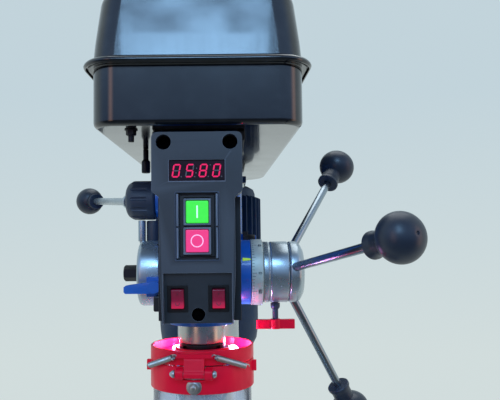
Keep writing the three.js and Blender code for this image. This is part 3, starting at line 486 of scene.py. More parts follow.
def moulded(name, slot, colour, roughness, texture=0.03, grain=1500, specular=0.5):
    """Moulded plastic with a fine etched grain, a little paler on raised edges: partly wear, partly a painted
    highlight.
    """
    look = Look(name, slot)
    tone = look.ramp(look.noise(18), [(0.3, shade(colour, 0.88)), (0.7, shade(colour, 1.1))])
    look.set(
        # Raised edges go paler: partly wear, partly a painted highlight along them.
        Base_Color=look.mixed(look.edge_wear(), tone, shade(colour, 1.8)), Specular_IOR_Level=specular,
        Roughness=look.ranged(look.noise(35, 6), roughness * 0.82, roughness * 1.2),
    )
    look.bump((look.noise(grain, 3), texture))
    return look


def machined(name, slot, colour, roughness, line_axis="Z", depth=0.004, tarnish=0.12, metallic=1.0):
    """Bright metal with fine tool marks across line_axis, and light smudges."""
    look = Look(name, slot)
    stretch = {"X": (1, 0.02, 0.02), "Y": (0.02, 1, 0.02), "Z": (0.02, 0.02, 1)}[line_axis]
    marks = look.noise(2600, 3, 0.6, stretch)
    smudge = look.noise(40, 5)
    look.set(
        Base_Color=look.ramp(smudge, [(0.25, shade(colour, 1 - tarnish)), (0.75, colour)]),
        Roughness=look.ranged(smudge, roughness * 0.7, roughness * 1.4),
        Metallic=metallic,
    )
    look.bump((marks, depth))
    return look


def cast_iron(name, slot):
    """Ground faces up, dark cast skin elsewhere. Up is told from the piece's own normal."""
    look = Look(name, slot)
    ground = look.ranged(look.split(look.place["Normal"])["Z"], 0, 1, 0.9, 0.97)
    skin_tone = look.ramp(look.noise(70, 8), [(0.3, (0.045, 0.05, 0.055)), (0.7, (0.09, 0.095, 0.1))])
    stains = look.noise(12, 8, 0.65)
    face_tone = look.ramp(stains, [(0.3, (0.33, 0.33, 0.32)), (0.7, (0.52, 0.52, 0.5))])
    look.set(
        Base_Color=look.mixed(ground, skin_tone, face_tone),
        Roughness=look.ranged(ground, 0.62, 0.3, 0, 1),
        Metallic=look.ranged(ground, 0.35, 1, 0, 1),
    )
    look.bump((look.noise(1500, 3, 0.6, (1, 0.03, 1)), 0.006), (look.noise(260, 5), 0.06))
    return look


def rubber(name, slot, colour, specular=0.4):
    look = Look(name, slot)
    look.set(
        Base_Color=look.ramp(look.noise(80, 6), [(0.3, shade(colour, 0.8)), (0.7, shade(colour, 1.5))]),
        Roughness=look.ranged(look.noise(120, 5), 0.6, 0.85),
        Specular_IOR_Level=specular,
    )
    look.bump((look.noise(2200, 2), 0.03))
    return look


def glowing(name, slot, colour, strength, spread=0.15, base=(0.1, 0.0, 0.02)):
    """A lit surface whose brightness varies a little, under clear plastic."""
    look = Look(name, slot)
    lit = look.ramp(look.noise(300, 2), [(0.3, shade(colour, 1 - spread)), (0.7, colour)])
    look.set(Emission_Color=lit, Emission_Strength=strength, Base_Color=base, Roughness=0.3)
    return look


def lit_rocker(name, slot):
    """Translucent red plastic, lit from inside and brightest at its lower end."""
    look = Look(name, slot)
    glow = look.ramp(look.split(look.place["Generated"])["Z"], [
        (0.04, (0.62, 0.012, 0.075)), (0.26, (0.36, 0.008, 0.05)), (0.40, (0.15, 0.006, 0.032)),
        (1.0, (0.075, 0.005, 0.02)),
    ])
    tone = look.ramp(look.noise(200, 3), [(0.3, (0.10, 0.004, 0.016)), (0.7, (0.14, 0.006, 0.022))])
    look.set(Emission_Color=glow, Emission_Strength=0.75, Base_Color=tone, Roughness=0.25, Coat_Weight=0.3)
    look.bump((look.noise(900, 2), 0.01))
    return look


def clear(name, slot):
    """Clear sheet plastic with fine scratches and a light haze."""
    look = Look(name, slot)
    scratch = look.noise(900, 6, 0.7, (1, 1, 0.1))
    tone = look.ramp(scratch, [(0.3, (0.92, 0.94, 0.99)), (0.7, (0.97, 0.98, 1.0))])
    haze = look.ranged(scratch, 0.04, 0.10)
    look.set(Base_Color=tone, Roughness=haze, Transmission_Weight=0.92, IOR=1.46)
    look.bump((scratch, 0.0006))
    return look


BLUE = painted("cast blue enamel", "blue_paint", (0.003, 0.125, 0.52), 0.36, 0.35, 0.10)
BLACK_PAINT = painted("black powder coat", "black_paint", (0.004, 0.005, 0.008), 0.15, 0.6, 0.02)
GREY_PAINT = painted("dark motor enamel", "grey_paint", (0.012, 0.036, 0.080), 0.55, 0.05, 0.05, specular=0.3)
RED_PAINT = painted(
    "red guard enamel", "red_paint", (0.95, 0.001, 0.032), 0.4, 0.12, 0.03,
    dust=(0.7, 0.02, 0.06), specular=0.2,
)
IRON = cast_iron("ground cast iron", "cast_iron")
STEEL = machined("turned steel", "steel", (0.50, 0.49, 0.47), 0.24)
STEEL_X = machined("steel turned about X", "steel", (0.56, 0.57, 0.57), 0.24, "X")
COLUMN_STEEL = machined("ground column steel", "steel", (0.5, 0.52, 0.54), 0.3, depth=0.006)
CHROME = machined(
    "chrome plate", "chrome", (0.44, 0.50, 0.53), 0.27, depth=0.0006, tarnish=0.08, metallic=0.75,
)
ROD_CHROME = machined("dulled chrome rod", "chrome", (0.36, 0.42, 0.47), 0.25, depth=0.0006, tarnish=0.1)
SATIN = machined("satin chrome dial", "dial", (0.68, 0.70, 0.60), 0.45, "X", metallic=0.3)
ZINC = machined("zinc plate", "steel", (0.6, 0.62, 0.6), 0.28, depth=0.003, tarnish=0.25)
BLACK_OXIDE = machined("black oxide steel", "black_plastic", (0.035, 0.035, 0.04), 0.38, depth=0.01)
BLACK_PLASTIC = moulded("black grained plastic", "black_plastic", (0.033, 0.047, 0.075), 0.44)
PANEL_PLASTIC = moulded("grained panel plastic", "black_plastic", (0.034, 0.040, 0.048), 0.42)
# Paler colour for the control face's bevelled edges: a painted highlight along them.
PANEL_EDGE_HIGHLIGHT = moulded("panel edge painted highlight", "black_plastic", (0.19, 0.22, 0.27), 0.36)
DARK_PLASTIC = moulded("dark grained plastic", "black_plastic", (0.005, 0.006, 0.008), 0.48)
GLOSS_BLACK = moulded("gloss phenolic", "gloss_black", (0.018, 0.026, 0.042), 0.36, texture=0.006, grain=500)
GLASS_BLACK = moulded(
    "smoked window", "gloss_black", (0.012, 0.004, 0.007), 0.2, texture=0.002, grain=500, specular=0.25,
)
FRAME_GREY = moulded("silver button frame", "black_plastic", (0.10, 0.115, 0.145), 0.32, texture=0.01)
GREEN = glowing("lit green button", "green_plastic", (0.06, 0.9, 0.07), 0.85, 0.08, base=(0.02, 0.30, 0.03))
PINK = glowing("lit red button", "red_plastic", (0.86, 0.055, 0.28), 0.82, 0.08, base=(0.45, 0.01, 0.05))
WHITE_MARK = glowing("white button mark", "green_plastic", (0.55, 0.95, 0.65), 0.7, 0.05, (0.7, 0.7, 0.7))
PINK_MARK = glowing("pale button mark", "red_plastic", (0.9, 0.34, 0.62), 0.75, 0.05, base=(0.7, 0.5, 0.6))
ROCKER = lit_rocker("lit red rocker", "red_plastic")
DARK_MARK = moulded("dark printed mark", "black_plastic", (0.03, 0.002, 0.012), 0.5)
DIAL_MARK = moulded("black dial print", "black_plastic", (0.01, 0.01, 0.012), 0.5)
DIGIT = glowing("lit digit", "red_plastic", (0.80, 0.006, 0.11), 1.1, 0.05)
DIGIT_OFF = moulded("unlit digit", "gloss_black", (0.075, 0.055, 0.06), 0.4)
LAMP = glowing("lamp lens", "clear_plastic", (0.80, 0.62, 1.0), 22.0, 0.05, base=(0.9, 0.9, 0.95))
# The yellow pointer holds no lamp; its glow is painted light.
YELLOW_PAINTED_GLOW = glowing("yellow pointer with painted glow", "dial", (0.45, 0.75, 0.02), 0.4, 0.1, base=(0.5, 0.7, 0.02))
CLEAR = clear("clear guard sheet", "clear_plastic")
RUBBER = rubber("belt rubber", "belt_rubber", (0.012, 0.012, 0.014))
# Near-black with no shine, for the chuck key holes and screw recesses: painted shade inside holes.
HOLE_PAINTED_SHADE = rubber("painted hole shade", "black_plastic", (0.001, 0.001, 0.0015), 0.0)


# ---- base, column and rack ----
def base_and_column():
    refined("base_casting", BLUE, 2.2, segments=3)
    radius = 70
    flange = turned([
        (36.8, 30.3), (radius, 30.3), (radius, 44), (54, 48), (50, 75), (47, 78), (36.8, 78),
    ], ROUND, 2.2, closed=True)
    instead("column_flange", moved(flange, shifted(0, COLUMN_Y, 0)), BLUE)
    bolts = []
    for k in range(4):
        angle = FULL * (k + 0.5) / 4
        place = shifted(61 * math.cos(angle), COLUMN_Y + 61 * math.sin(angle), 47.2)
        bolts.append(moved(bolt_head(13, 7), place))
    piece("flange_bolts", gathered(*bolts), ZINC, BODY_OF["column_flange"])
    low, high = edges("column_tube")
    tube_wall = sleeve(33, COLUMN_RADIUS, low.z, high.z, ROUND, 0.8)
    instead("column_tube", moved(tube_wall, shifted(0, COLUMN_Y, 0)), COLUMN_STEEL)
    refined("lift_rack", STEEL, 0.25)
    collar = sleeve(36.8, 46, 546, 562, ROUND, 1.4)
    instead("rack_collar", moved(collar, shifted(0, COLUMN_Y, 0)), BLUE)
    screw = moved(carved(
        round_bar(3.4, 0, 2.2, SMALL, 0.4),
        [prism(hexagon(3.4), 0.8, 4)],
    ), aimed((1, -1, 0), (32.2, COLUMN_Y - 32.2, 554)))
    piece("collar_screw", screw, BLACK_OXIDE, BODY_OF["rack_collar"])


# ---- table ----
def table_and_lift():
    refined("table", IRON, 1.2, segments=3)
    refined("table_bracket", BLUE, 1.6)
    tilt_z = 300
    tilt_bolt = moved(bolt_head(19, 11), aimed((0, -1, 0), (0, 17, tilt_z)))
    piece("table_tilt_bolt", tilt_bolt, ZINC, "table")
    scale = []
    for degree in range(-45, 46, 5):
        length = 4.5 if degree % 15 == 0 else 2.6
        mark = block(-0.25, 0.25, -0.15, 0.35, 28 - length, 28)
        scale.append(moved(mark, about("Y", degree), shifted(0, 43.9, tilt_z)))
    piece("tilt_scale_marks", gathered(*scale), DIAL_MARK, "table")
    lock_z = 294
    screw = gathered(
        moved(round_bar(4, 0, 60, SMALL, 0.5), aimed((1, 0, 0), (-104, COLUMN_Y, lock_z))),
        moved(round_bar(9, 0, 30, MEDIUM, 1.6), aimed((1, 0, 0), (-96, COLUMN_Y, lock_z))),
        tube([(-84 - 14 * k, COLUMN_Y + 4 + 31 * k, lock_z) for k in range(3)], 4.6, SMALL),
    )
    ball = moved(ball_shape(11, 11, 4.6), aimed((-0.4, 0.9, 0), (-107.4, COLUMN_Y + 55.6, lock_z)))
    instead("bracket_lock_lever", screw, CHROME)
    piece("bracket_lock_ball", ball, GLOSS_BLACK, "bracket_lock")


def ball_shape(radius, half, rod):
    """A ball knob along Z with a waisted neck at z = 0 and a dimple at its far pole."""
    scale = radius / 20
    centre = 14 * scale + half
    line = [(rod + 0.1, 6 * scale), (rod + 0.1, 0), (10.6 * scale, 0), (11.5 * scale, 0.8 * scale),
            (11.5 * scale, 3 * scale), (10.2 * scale, 6 * scale), (10.0 * scale, 8.5 * scale)]
    start, steps = -1.05, 26
    for k in range(steps + 1):
        angle = start + (1.49 - start) * k / steps
        line.append((math.cos(angle) * radius, centre + math.sin(angle) * half))
    top = centre + half
    line += [(1.5 * scale, top - 0.1 * scale), (1.0 * scale, top - 1.0 * scale), (0, top - 1.2 * scale)]
    return turned([(0, 6 * scale), *line], MEDIUM * 2)


def crank():
    refined("crank_pinion", STEEL_X, 0.2)
    at = middle("crank_pinion")
    low, high = edges("crank_arm")
    arm_x = (low.x + high.x) / 2
    reach = 70
    outline = []
    for centre, radius, first in ((0, 12, 180), (reach, 12, 0)):
        outline += [
            (radius * math.cos(math.radians(first + a)), centre + radius * math.sin(math.radians(first + a)))
            for a in range(0, 181, 12)
        ]
    spin = Matrix(((0, 0, 1, 0), (1, 0, 0, 0), (0, 1, 0, 0), (0, 0, 0, 1)))  # X to Y, Y to Z, Z to X
    arm = gathered(
        prism(outline, arm_x - 4.6, arm_x + 4.6),
        round_bar(13, arm_x - 5.5, arm_x + 5.5, MEDIUM, 1.5),
    )
    instead("crank_arm", moved(arm, spin, shifted(0, at.y, at.z)), BLACK_PAINT, bevel=1.2)
    knob_low = edges("crank_knob")[0].x
    knob = turned([
        (0, 0), (9, 0), (9.6, 2), (8.2, 7), (8.4, 12), (10.6, 24), (11.4, 33), (10.6, 40), (7, 44), (0, 44.9),
    ], MEDIUM, 3.5)
    end = round_bar(4.2, 44.4, 45.0, SMALL, 0.3)
    knob_place = (ALONG_X, shifted(knob_low, at.y, at.z + reach))
    instead("crank_knob", moved(knob, *knob_place), GLOSS_BLACK)
    piece("crank_knob_pin", moved(end, *knob_place), ZINC, BODY_OF["crank_knob"])


# ---- head, quill and chuck ----
def head():
    refined("head_casting", BLUE, 1.4, segments=3)
    # Black plates across the head's top under the pan: painted shade for the dark gap above the control face.
    shade_plate = gathered(
        block(-41, 41, -41.5, -38.1, 786.8, 795.4),
        block(-41, -34.2, -38.1, 120, 788.5, 795.4),
        block(34.2, 41, -38.1, 120, 788.5, 795.4),
    )
    piece("pan_shade_plate", shade_plate, RUBBER, slot="black_plastic", bevel=1.0)
    pin = gathered(
        round_bar(3.8, 699.5, 720.6, MEDIUM, 0.8),
        round_bar(2.4, 697.6, 700, SMALL, 0.5),
    )
    piece("speed_stop_pin", moved(pin, shifted(-61.9, 40, 0)), CHROME)
    # A black cylinder beside the stop pin, where the casting lies in shade: painted shade.
    housing = moved(round_bar(7.2, 0, 22, MEDIUM, 1.2), shifted(-50.6, 44, 698.5))
    piece("speed_stop_shade_block", housing, BLACK_PLASTIC)
    rear_stud = turned([
        (0, 771), (4.0, 771), (4.5, 772), (4.5, 783), (2.8, 785), (2.8, 795.8), (0, 795.8),
    ], MEDIUM, 0.5)
    piece("pan_stud_rear", moved(rear_stud, shifted(-60, 56, 0)), BLACK_OXIDE)
    clip = block(-41.5, -33.6, -34, -16, 636, 650)
    piece("box_cable_clip", clip, DARK_PLASTIC, bevel=1.5)
    pointer = upright([(0, -1.5), (6.8, -0.9), (8.0, 0), (6.8, 0.9), (0, 1.5)], -0.5, 0.7)
    pointer = moved(pointer, shifted(38.6, -31.9, 0), about("X", -24), FEED)
    # The pointer's glow is painted light.
    piece("depth_pointer", pointer, YELLOW_PAINTED_GLOW, bevel=0.2)
    collar = turned([
        (0, 48), (8.2, 48), (8.2, 52), (7.9, 56), (6.6, 58.4), (3.8, 58.4), (3.8, 52), (0, 52),
    ], MEDIUM, 0.8)
    gland = moved(gathered(prism(hexagon(20.8), 42.5, 48.4), collar), ALONG_X, GLAND)
    piece("cable_gland", gland, DARK_PLASTIC, bevel=0.5)


def quill_and_chuck():
    refined("quill", STEEL, 0.2)
    refined("quill_bearing", STEEL, 0)
    refined("spindle", STEEL, 0.2)
    low, high = edges("quill_nose_nut")
    notches = [
        moved(block(18.6, 23, -2.6, 2.6, low.z - 1, high.z - 1.4), about("Z", 45 + 90 * k)) for k in range(4)
    ]
    nut = carved(turned([
        (12.6, low.z), (21.2, low.z), (21.2, high.z), (12.6, high.z),
    ], ROUND, 0.7, closed=True), notches)
    instead("quill_nose_nut", nut, BLACK_OXIDE, slot="black_paint")
    refined("chuck_body", CHROME, 0.4)
    bottom, top = [corner.z for corner in edges("chuck_sleeve")]
    knurled = knurled_ring(19.3, 25, bottom, top)
    instead("chuck_sleeve", knurled, CHROME, sharp=40)
    key_holes = []
    for k in range(3):
        x, y = math.cos(FULL * k / 3), math.sin(FULL * k / 3)
        hole = round_bar(3.6, 0, 1.3, SMALL, 0.3)
        key_holes.append(moved(hole, aimed((x, y, 0), (20.9 * x, 20.9 * y, top + 5.4))))
    # Near-black discs on the sleeve stand for the key holes: painted shade.
    piece("chuck_key_holes", gathered(*key_holes), HOLE_PAINTED_SHADE, "spindle")
    for k in range(3):
        refined(f"chuck_jaw_{k + 1}", STEEL, 0.3)


def knurled_ring(inner, outer, bottom, top):
    """A sleeve whose middle band is a ring of fine ridges."""
    bands = [
        (inner, bottom), (outer - 3.4, bottom), (outer - 2.4, bottom + 0.5), (outer - 0.5, bottom + 4.6),
        (outer, bottom + 5.6), (outer, bottom + 9.0), (outer, bottom + 9.8, True), (outer, top - 9.2, True),
        (outer, top - 8.4), (outer, top - 4.4), (outer - 1.6, top - 0.6), (outer - 2.2, top), (inner, top),
    ]
    teeth = 48
    return spun(bands, teeth * 4, closed=True, groove=0.75, is_grooved=lambda k: k % 4 in (1, 2))


# ---- feed, depth stop and locks ----
def spoke_way(index):
    turn = math.radians(11 + 120 * index)
    return Vector((
        math.sin(SPOKE_LEAN), -math.cos(SPOKE_LEAN) * math.cos(turn), math.cos(SPOKE_LEAN) * math.sin(turn),
    ))


def along_spoke(index, distance):
    return spoke_way(index) * distance + Vector((SPOKE_APEX, FEED_Y, FEED_Z))


def feed():
    refined("feed_shaft", STEEL_X, 0.2)
    hub = turned([
        (0, 47.3), (14, 47.3), (14, 83.8), (29, 83.8), (30, 85), (30, 91.5), (28.4, 94.4), (22, 98), (12, 99),
        (8.5, 99), (7.6, 97.6), (0, 97.6),
    ], ROUND, 1.1)
    instead("feed_hub", moved(hub, ALONG_X, FEED), CHROME)
    screw = moved(bolt_head(8, 1.1), ALONG_X, shifted(97.7, FEED_Y, FEED_Z))
    piece("feed_hub_screw", screw, ZINC, "feed")
    for index in range(3):
        name = f"feed_spoke_{index + 1}"
        spoke = round_bar(4.2, 30, SPOKE_END, MEDIUM, 0.6)
        place = aimed(spoke_way(index), (SPOKE_APEX, FEED_Y, FEED_Z))
        instead(name, moved(spoke, place), ROD_CHROME)
        neck = along_spoke(index, SPOKE_END - 11.7)
        knob = moved(ball_shape(20, 18, 4.2), aimed(spoke_way(index), neck))
        instead(f"feed_knob_{index + 1}", knob, GLOSS_BLACK)


def depth_stop():
    low, high = edges("depth_ring")
    dial = turned([
        (14.3, low.x), (32.3, low.x), (32.3, high.x), (30.6, high.x), (14.3, high.x),
    ], ROUND, 0.5, closed=True)
    instead("depth_ring", moved(dial, ALONG_X, FEED), SATIN)
    marks = []
    count = 66
    for k in range(count):
        length = 4.6 if k % 10 == 0 else 3.4 if k % 5 == 0 else 2.2
        mark = block(low.x + 0.5, low.x + 0.5 + length, -32.38, -31.9, -0.17, 0.17)
        marks.append(moved(mark, about("X", -360 * k / count)))
    piece("depth_ring_marks", moved(gathered(*marks), FEED), DIAL_MARK, "depth_stop")
    numerals = []
    for k in range(0, count, 10):
        stroke = digits_shape(str(k), 2.7, 0.36, lean=0.0)
        numerals.append(moved(
            stroke, about("X", 90), about("Y", 90), shifted(low.x + 8.1, -32.35, 0),
            about("X", -360 * k / count),
        ))
    piece("depth_ring_numerals", moved(gathered(*numerals), FEED), DIAL_MARK, "depth_stop")
    low, high = edges("depth_collar")
    collar = turned([
        (14.3, low.x), (29.2, low.x), (30, low.x + 0.8), (30, low.x + 5.4), (29.3, low.x + 6.1),
        (29.3, low.x + 7.3), (30, low.x + 8), (30, high.x - 1.2), (28.8, high.x), (14.3, high.x),
    ], ROUND, 0.4, closed=True)
    socket = moved(round_bar(3.4, -31, -24, SMALL), shifted(DEPTH_LOCK_X, 0, 0))
    collar = carved(moved(collar, ALONG_X), [socket])
    instead("depth_collar", moved(collar, FEED), CHROME)
    stem = gathered(
        round_bar(2.9, -47, -16, SMALL, 0.4),
        turned([(0, -36.5), (3.6, -36.5), (4.6, -34.5), (4.6, -30.6), (0, -30.6)], MEDIUM, 0.6),
    )
    piece("depth_lock_stem", moved(stem, shifted(DEPTH_LOCK_X, 0, 0), FEED), BLACK_PLASTIC, "depth_lock")
    wing = gathered(
        prism(rectangle(-19, 19, -3.4, 3.4), -55.8, -46.8, 2.2),
        round_bar(5.6, -56, -46.4, MEDIUM, 0.8),
    )
    wing = moved(wing, shifted(DEPTH_LOCK_X, 0, 0), FEED)
    instead("depth_lock_wing", wing, RED_PAINT, slot="red_plastic", bevel=0.9)


def return_and_locks():
    refined("return_spring", STEEL_X, 0)
    cap = turned([
        (7, -62), (28.6, -62), (31, -60.8), (32, -58.6), (32, -40.6), (30, -40.6), (30, -60), (7, -60),
    ], ROUND, 1.0, closed=True)
    slots = [
        moved(block(-43.5, -39, -33, -27, -2, 2), about("X", 60 + 120 * k)) for k in range(3)
    ]
    instead("spring_cap", moved(carved(moved(cap, ALONG_X), slots), FEED), CHROME)
    hexed = carved(
        prism(hexagon(13.9), -78, -62.6),
        [turned([(0, -78), (6.6, -78), (8.1, -76.6), (8.1, -62.6), (0, -62.6)], MEDIUM)],
        "INTERSECT",
    )
    end = round_bar(3.6, -78, -76, SMALL, 0.4)
    nut = moved(gathered(hexed, end), ALONG_X, FEED)
    instead("spring_nut", nut, BLACK_OXIDE, slot="black_paint", bevel=0.3)
    refined("quill_lock_lever", BLUE, 1.3, segments=3)


def speed_change():
    axis_y, axis_z = middle("speed_hub").y, middle("speed_hub").z
    body = turned([
        (0, -47), (18.6, -47), (19.7, -48.6), (19.7, -69.5), (16.4, -74.6), (12, -77), (0, -77),
    ], ROUND, 1.4)
    grips = [
        moved(round_bar(2.4, -72, -55, SMALL), shifted(20.9, 0, 0), about("Z", 30 * k))
        for k in range(12)
    ]
    neck = round_bar(6, -26, -52, MEDIUM)
    body = gathered(carved(body, grips), neck)
    instead("speed_hub", moved(body, ALONG_X, shifted(0, axis_y, axis_z)), BLACK_PLASTIC, bevel=0.4)
    way = Vector((-72, 120, 11)).normalized()
    start = Vector((-76, axis_y + 14, axis_z))
    rod = turned([(0, 0), (7.6, 0), (7.6, 5), (4, 8), (4, 118), (0, 118)], MEDIUM, 1.0)
    instead("speed_rod", moved(rod, aimed(way, start)), CHROME)
    ball = ball_shape(16, 16, 4)
    neck_start = start + way * 107.1
    instead("speed_ball", moved(ball, aimed(way, neck_start)), GLOSS_BLACK)


# ---- belt cover ----
def cover_ring(z, inset, shrink=0.0):
    """The cover's outline at one height, moved in by inset and drawn in further by shrink."""
    x0 = COVER_HALF_FRONT - inset - shrink
    x1 = COVER_HALF_BACK - inset - shrink
    y0 = COVER_FRONT + inset + shrink * 0.8
    y1 = COVER_BACK - inset - shrink
    rear = 46 - inset
    front = max(22 - inset, 4)
    corners = [
        (x0 - front, y0 + front, front, -90), (x1 - rear, y1 - rear, rear, 0),
        (-x1 + rear, y1 - rear, rear, 90), (-x0 + front, y0 + front, front, 180),
    ]
    steps = 14
    ring_points = []
    for x, y, r, first in corners:
        for k in range(steps + 1):
            angle = math.radians(first + 90 * k / steps)
            ring_points.append((x + r * math.cos(angle), y + r * math.sin(angle), z))
    return ring_points


def lid_levels(wall):
    """Rings from the rim up to the crown, moved in by the wall's thickness."""
    top = COVER_TOP - wall
    levels = [cover_ring(856, wall), cover_ring(870, wall, 1.2), cover_ring(890, wall, 3.6)]
    shoulder, shrink_low, shrink_high = 906, 5.6, 32
    steps, first = 9, 10
    sine, cosine = math.sin(math.radians(first)), math.cos(math.radians(first))
    for k in range(steps + 1):
        angle = math.radians(first + (90 - first) * k / steps)
        rise = (math.sin(angle) - sine) / (1 - sine)
        draw = (cosine - math.cos(angle)) / cosine
        levels.append(cover_ring(
            shoulder + (top - shoulder) * rise, wall, shrink_low + (shrink_high - shrink_low) * draw,
        ))
    return levels


def cover_rings(*steps):
    """The cover's outline at several heights, from (z, inset) or (z, inset, shrink) steps."""
    return [cover_ring(*step) for step in steps]


def hinge_barrel(x0, x1):
    barrel = sleeve(2.8, 4.5, x0, x1, MEDIUM, 0.4)
    return moved(barrel, ALONG_X, shifted(0, LID_HINGE_Y, LID_HINGE_Z))


def lid():
    low = edges("belt_lid")[0].z
    rim_outer = cover_rings(
        (RIM_LOW + 0.5, -7.9), (RIM_LOW + 1.6, -8.5), (850.2, -8.7), (851.6, -8.2), (852.9, -7.0),
        (853.8, -5.2), (854.2, -3.0), (854.5, -1.4), (855.2, -0.3),
    )
    rim_inner = cover_rings(
        (854.2, 1.9), (852.6, 1.2), (851.6, -4.4), (850.6, -5.9), (RIM_LOW + 1, -6.3), (RIM_LOW, -6.6),
        (RIM_LOW, -7.4),
    )
    shell = lofted(lid_levels(2)[::-1] + rim_inner + rim_outer + lid_levels(0))
    ears = []
    for side in (-1, 1):
        x0, x1 = sorted((side * 29.3, side * 39))
        ears.append(block(x0, x1, 360, LID_HINGE_Y, low, 850.2))
        ears.append(hinge_barrel(x0, x1))
    instead("belt_lid", gathered(shell, *ears), BLACK_PAINT, sharp=40, flat=True)
    refined("lid_hinge_pin", ZINC, 0.4)


def pan():
    bottom, top = PAN_BOTTOM, PAN_TOP
    shell = lofted(cover_rings(
        (bottom + 1.6, 5.5), (bottom + 2.2, 3.4), (bottom + 5, 2), (top, 2), (top, -4.1), (top - 0.4, -4.5),
        (top - 1.6, -4.5), (top - 2, -4.1), (top - 2, -0.6), (top - 2.6, 0), (bottom + 5, 0),
        (bottom + 2.8, 0.5), (bottom + 1.2, 1.7), (bottom + 0.3, 3.2), (bottom, 5),
    ))
    motor_at = middle("motor_pulley")
    holes = [
        moved(round_bar(r, bottom - 2, bottom + 6), shifted(x, y, 0))
        for x, y, r in ((0, 0, 30), (motor_at.x, motor_at.y, 16))
    ]
    lugs = []
    for side in (-1, 1):
        x0, x1 = sorted((side * 20, side * 29))
        lugs.append(block(x0, x1, 351.5, LID_HINGE_Y + 4.5, 828, 837))
        lugs.append(block(x0, x1, LID_HINGE_Y - 4.5, LID_HINGE_Y + 4.5, 828, LID_HINGE_Z))
        lugs.append(hinge_barrel(x0, x1))
    instead("belt_pan", gathered(carved(shell, holes), *lugs), BLACK_PAINT, sharp=40, flat=True)
    stud = gathered(
        moved(bolt_head(8, 4.5), about("X", 180), shifted(0, 0, bottom - 0.9)),
        round_bar(2.6, bottom - 11, bottom, SMALL, 0.5),
    )
    piece("pan_stud", moved(stud, shifted(-58.6, -47, 0)), BLACK_OXIDE)


def belt_drive():
    for node, hub, bore, low_z in (("spindle_pulley", 16.5, 8.4, 777), ("motor_pulley", 12, 7.3, 806)):
        at = middle(node)
        low, high = edges(node)
        rim = (high.x - low.x) / 2
        bottom = 818
        shape = turned([
            (bore, low_z), (hub, low_z), (hub, bottom), (rim - 1, bottom), (rim, bottom + 1),
            (rim, bottom + 3), (rim - 11, bottom + 8), (rim - 11, bottom + 14), (rim, bottom + 19),
            (rim, high.z - 1), (rim - 1, high.z), (bore, high.z),
        ], ROUND, 0.4, closed=True)
        instead(node, moved(shape, shifted(at.x, at.y, 0)), STEEL)
    refined("drive_belt", RUBBER, 0.8)


# ---- motor ----
def motor():
    low, high = edges("motor_housing")
    x, y = -3, 282
    radius, fins, ribs = 69, 74, 40
    bottom, top = low.z, 778
    shell = spun([
        (0, bottom), (radius - 24, bottom), (radius - 14, bottom + 1.6), (radius - 7, bottom + 6),
        (radius - 2.8, bottom + 14), (radius - 1.2, bottom + 26), (radius - 0.6, bottom + 36),
        (radius - 0.6, bottom + 66), (radius - 3, bottom + 67), (radius - 3, bottom + 70),
        (fins, bottom + 72, True), (fins, top - 17, True), (radius - 3, top - 14), (radius - 3, top - 10),
        (radius - 5, top - 4), (radius - 12, top), (0, top),
    ], ribs * 6, groove=7, is_grooved=lambda k: k % 6 > 1)
    plate = block(x - 52, x + 52, y - 70, y + 45, top, high.z)
    instead("motor_housing", gathered(moved(shell, shifted(x, y, 0)), plate), GREY_PAINT, bevel=0.8)
    bolts = [
        moved(bolt_head(10, 5), about("X", 180), shifted(x + dx, y + dy, top - 0.9))
        for dx in (-44, 44) for dy in (-58, 36)
    ]
    piece("motor_plate_bolts", gathered(*bolts), ZINC)
    refined("motor_rotor", STEEL, 0.3)


# ---- controls ----
def sunk(room, depth, radius):
    """A rounded pocket in the control face, from (left, right, low, high)."""
    return upright(rectangle(*room), FACE_FRONT - 1, FACE_FRONT + depth, radius)


def control_face():
    ahead = FACE_FRONT - 1
    body = upright(softened(FACE_OUTLINE, FACE_ROUNDING, steps=6, closed=True), FACE_FRONT, FACE_BACK)
    recess = sideways([(ahead, 628.3), (-63.8, 628.3), (-72, 671.4), (ahead, 671.4)], -28.2, 28.2)
    screw_holes = [
        moved(round_bar(r, -80, -61.6, MEDIUM), ALONG_Y, shifted(x, 0, z)) for x, z, r, _ in FACE_SCREWS
    ]
    sides = (-ROCKER_X, ROCKER_X)
    holes = [upright(rectangle(x - 5.9, x + 5.9, 641.0, 659.6), ahead, FACE_BACK - 1) for x in sides]
    shape = carved(body, [recess, sunk(WELL, 6, 1.2), sunk(DISPLAY, 5, 0.6), *screw_holes, *holes])
    # The bevels take the paler edge material, a painted highlight along the panel's edges.
    instead("control_face", shape, PANEL_PLASTIC, bevel=0.5, sharp=30, flat=True, edge_look=PANEL_EDGE_HIGHLIGHT)
    plugs = [
        moved(round_bar(r - 0.1, -depth, 1 - depth, MEDIUM), ALONG_Y, shifted(x, 0, z))
        for x, z, r, depth in FACE_SCREWS
    ]
    # Near-black plugs part way down the screw recesses: painted shade in the holes.
    piece("control_screw_wells", gathered(*plugs), HOLE_PAINTED_SHADE)
    tilt = (shifted(0, -ROCKER_Y, -ROCKER_Z), about("X", 10.8), shifted(0, ROCKER_Y, ROCKER_Z))
    bezels = []
    for x in sides:
        outer = upright(rectangle(x - 8.7, x + 8.7, 638.6, 662), -68.5, -66, 1.0)
        inner = upright(rectangle(x - 5.3, x + 5.3, 641.3, 659.3), -72, -60, 0.6)
        bezels.append(moved(carved(outer, [inner]), *tilt))
    piece("rocker_bezels", gathered(*bezels), DARK_PLASTIC, bevel=0.5)


def control_box():
    low, high = edges("control_box")
    seam = 1.6
    shell = block(low.x, high.x, low.y + seam + 0.6, high.y, low.z, high.z)
    front = block(low.x, high.x, low.y, low.y + seam, low.z, high.z)
    core = block(low.x + 0.6, high.x - 0.6, low.y + 0.5, high.y - 0.5, low.z + 0.6, high.z - 0.6)
    instead("control_box", gathered(shell, front, core), DARK_PLASTIC, bevel=0.5)


SEGMENTS = {
    "0": "abcdef", "1": "bc", "2": "abged", "3": "abgcd", "4": "fgbc", "5": "afgcd", "6": "afgedc",
    "7": "abc", "8": "abcdefg", "9": "abcdfg",
}


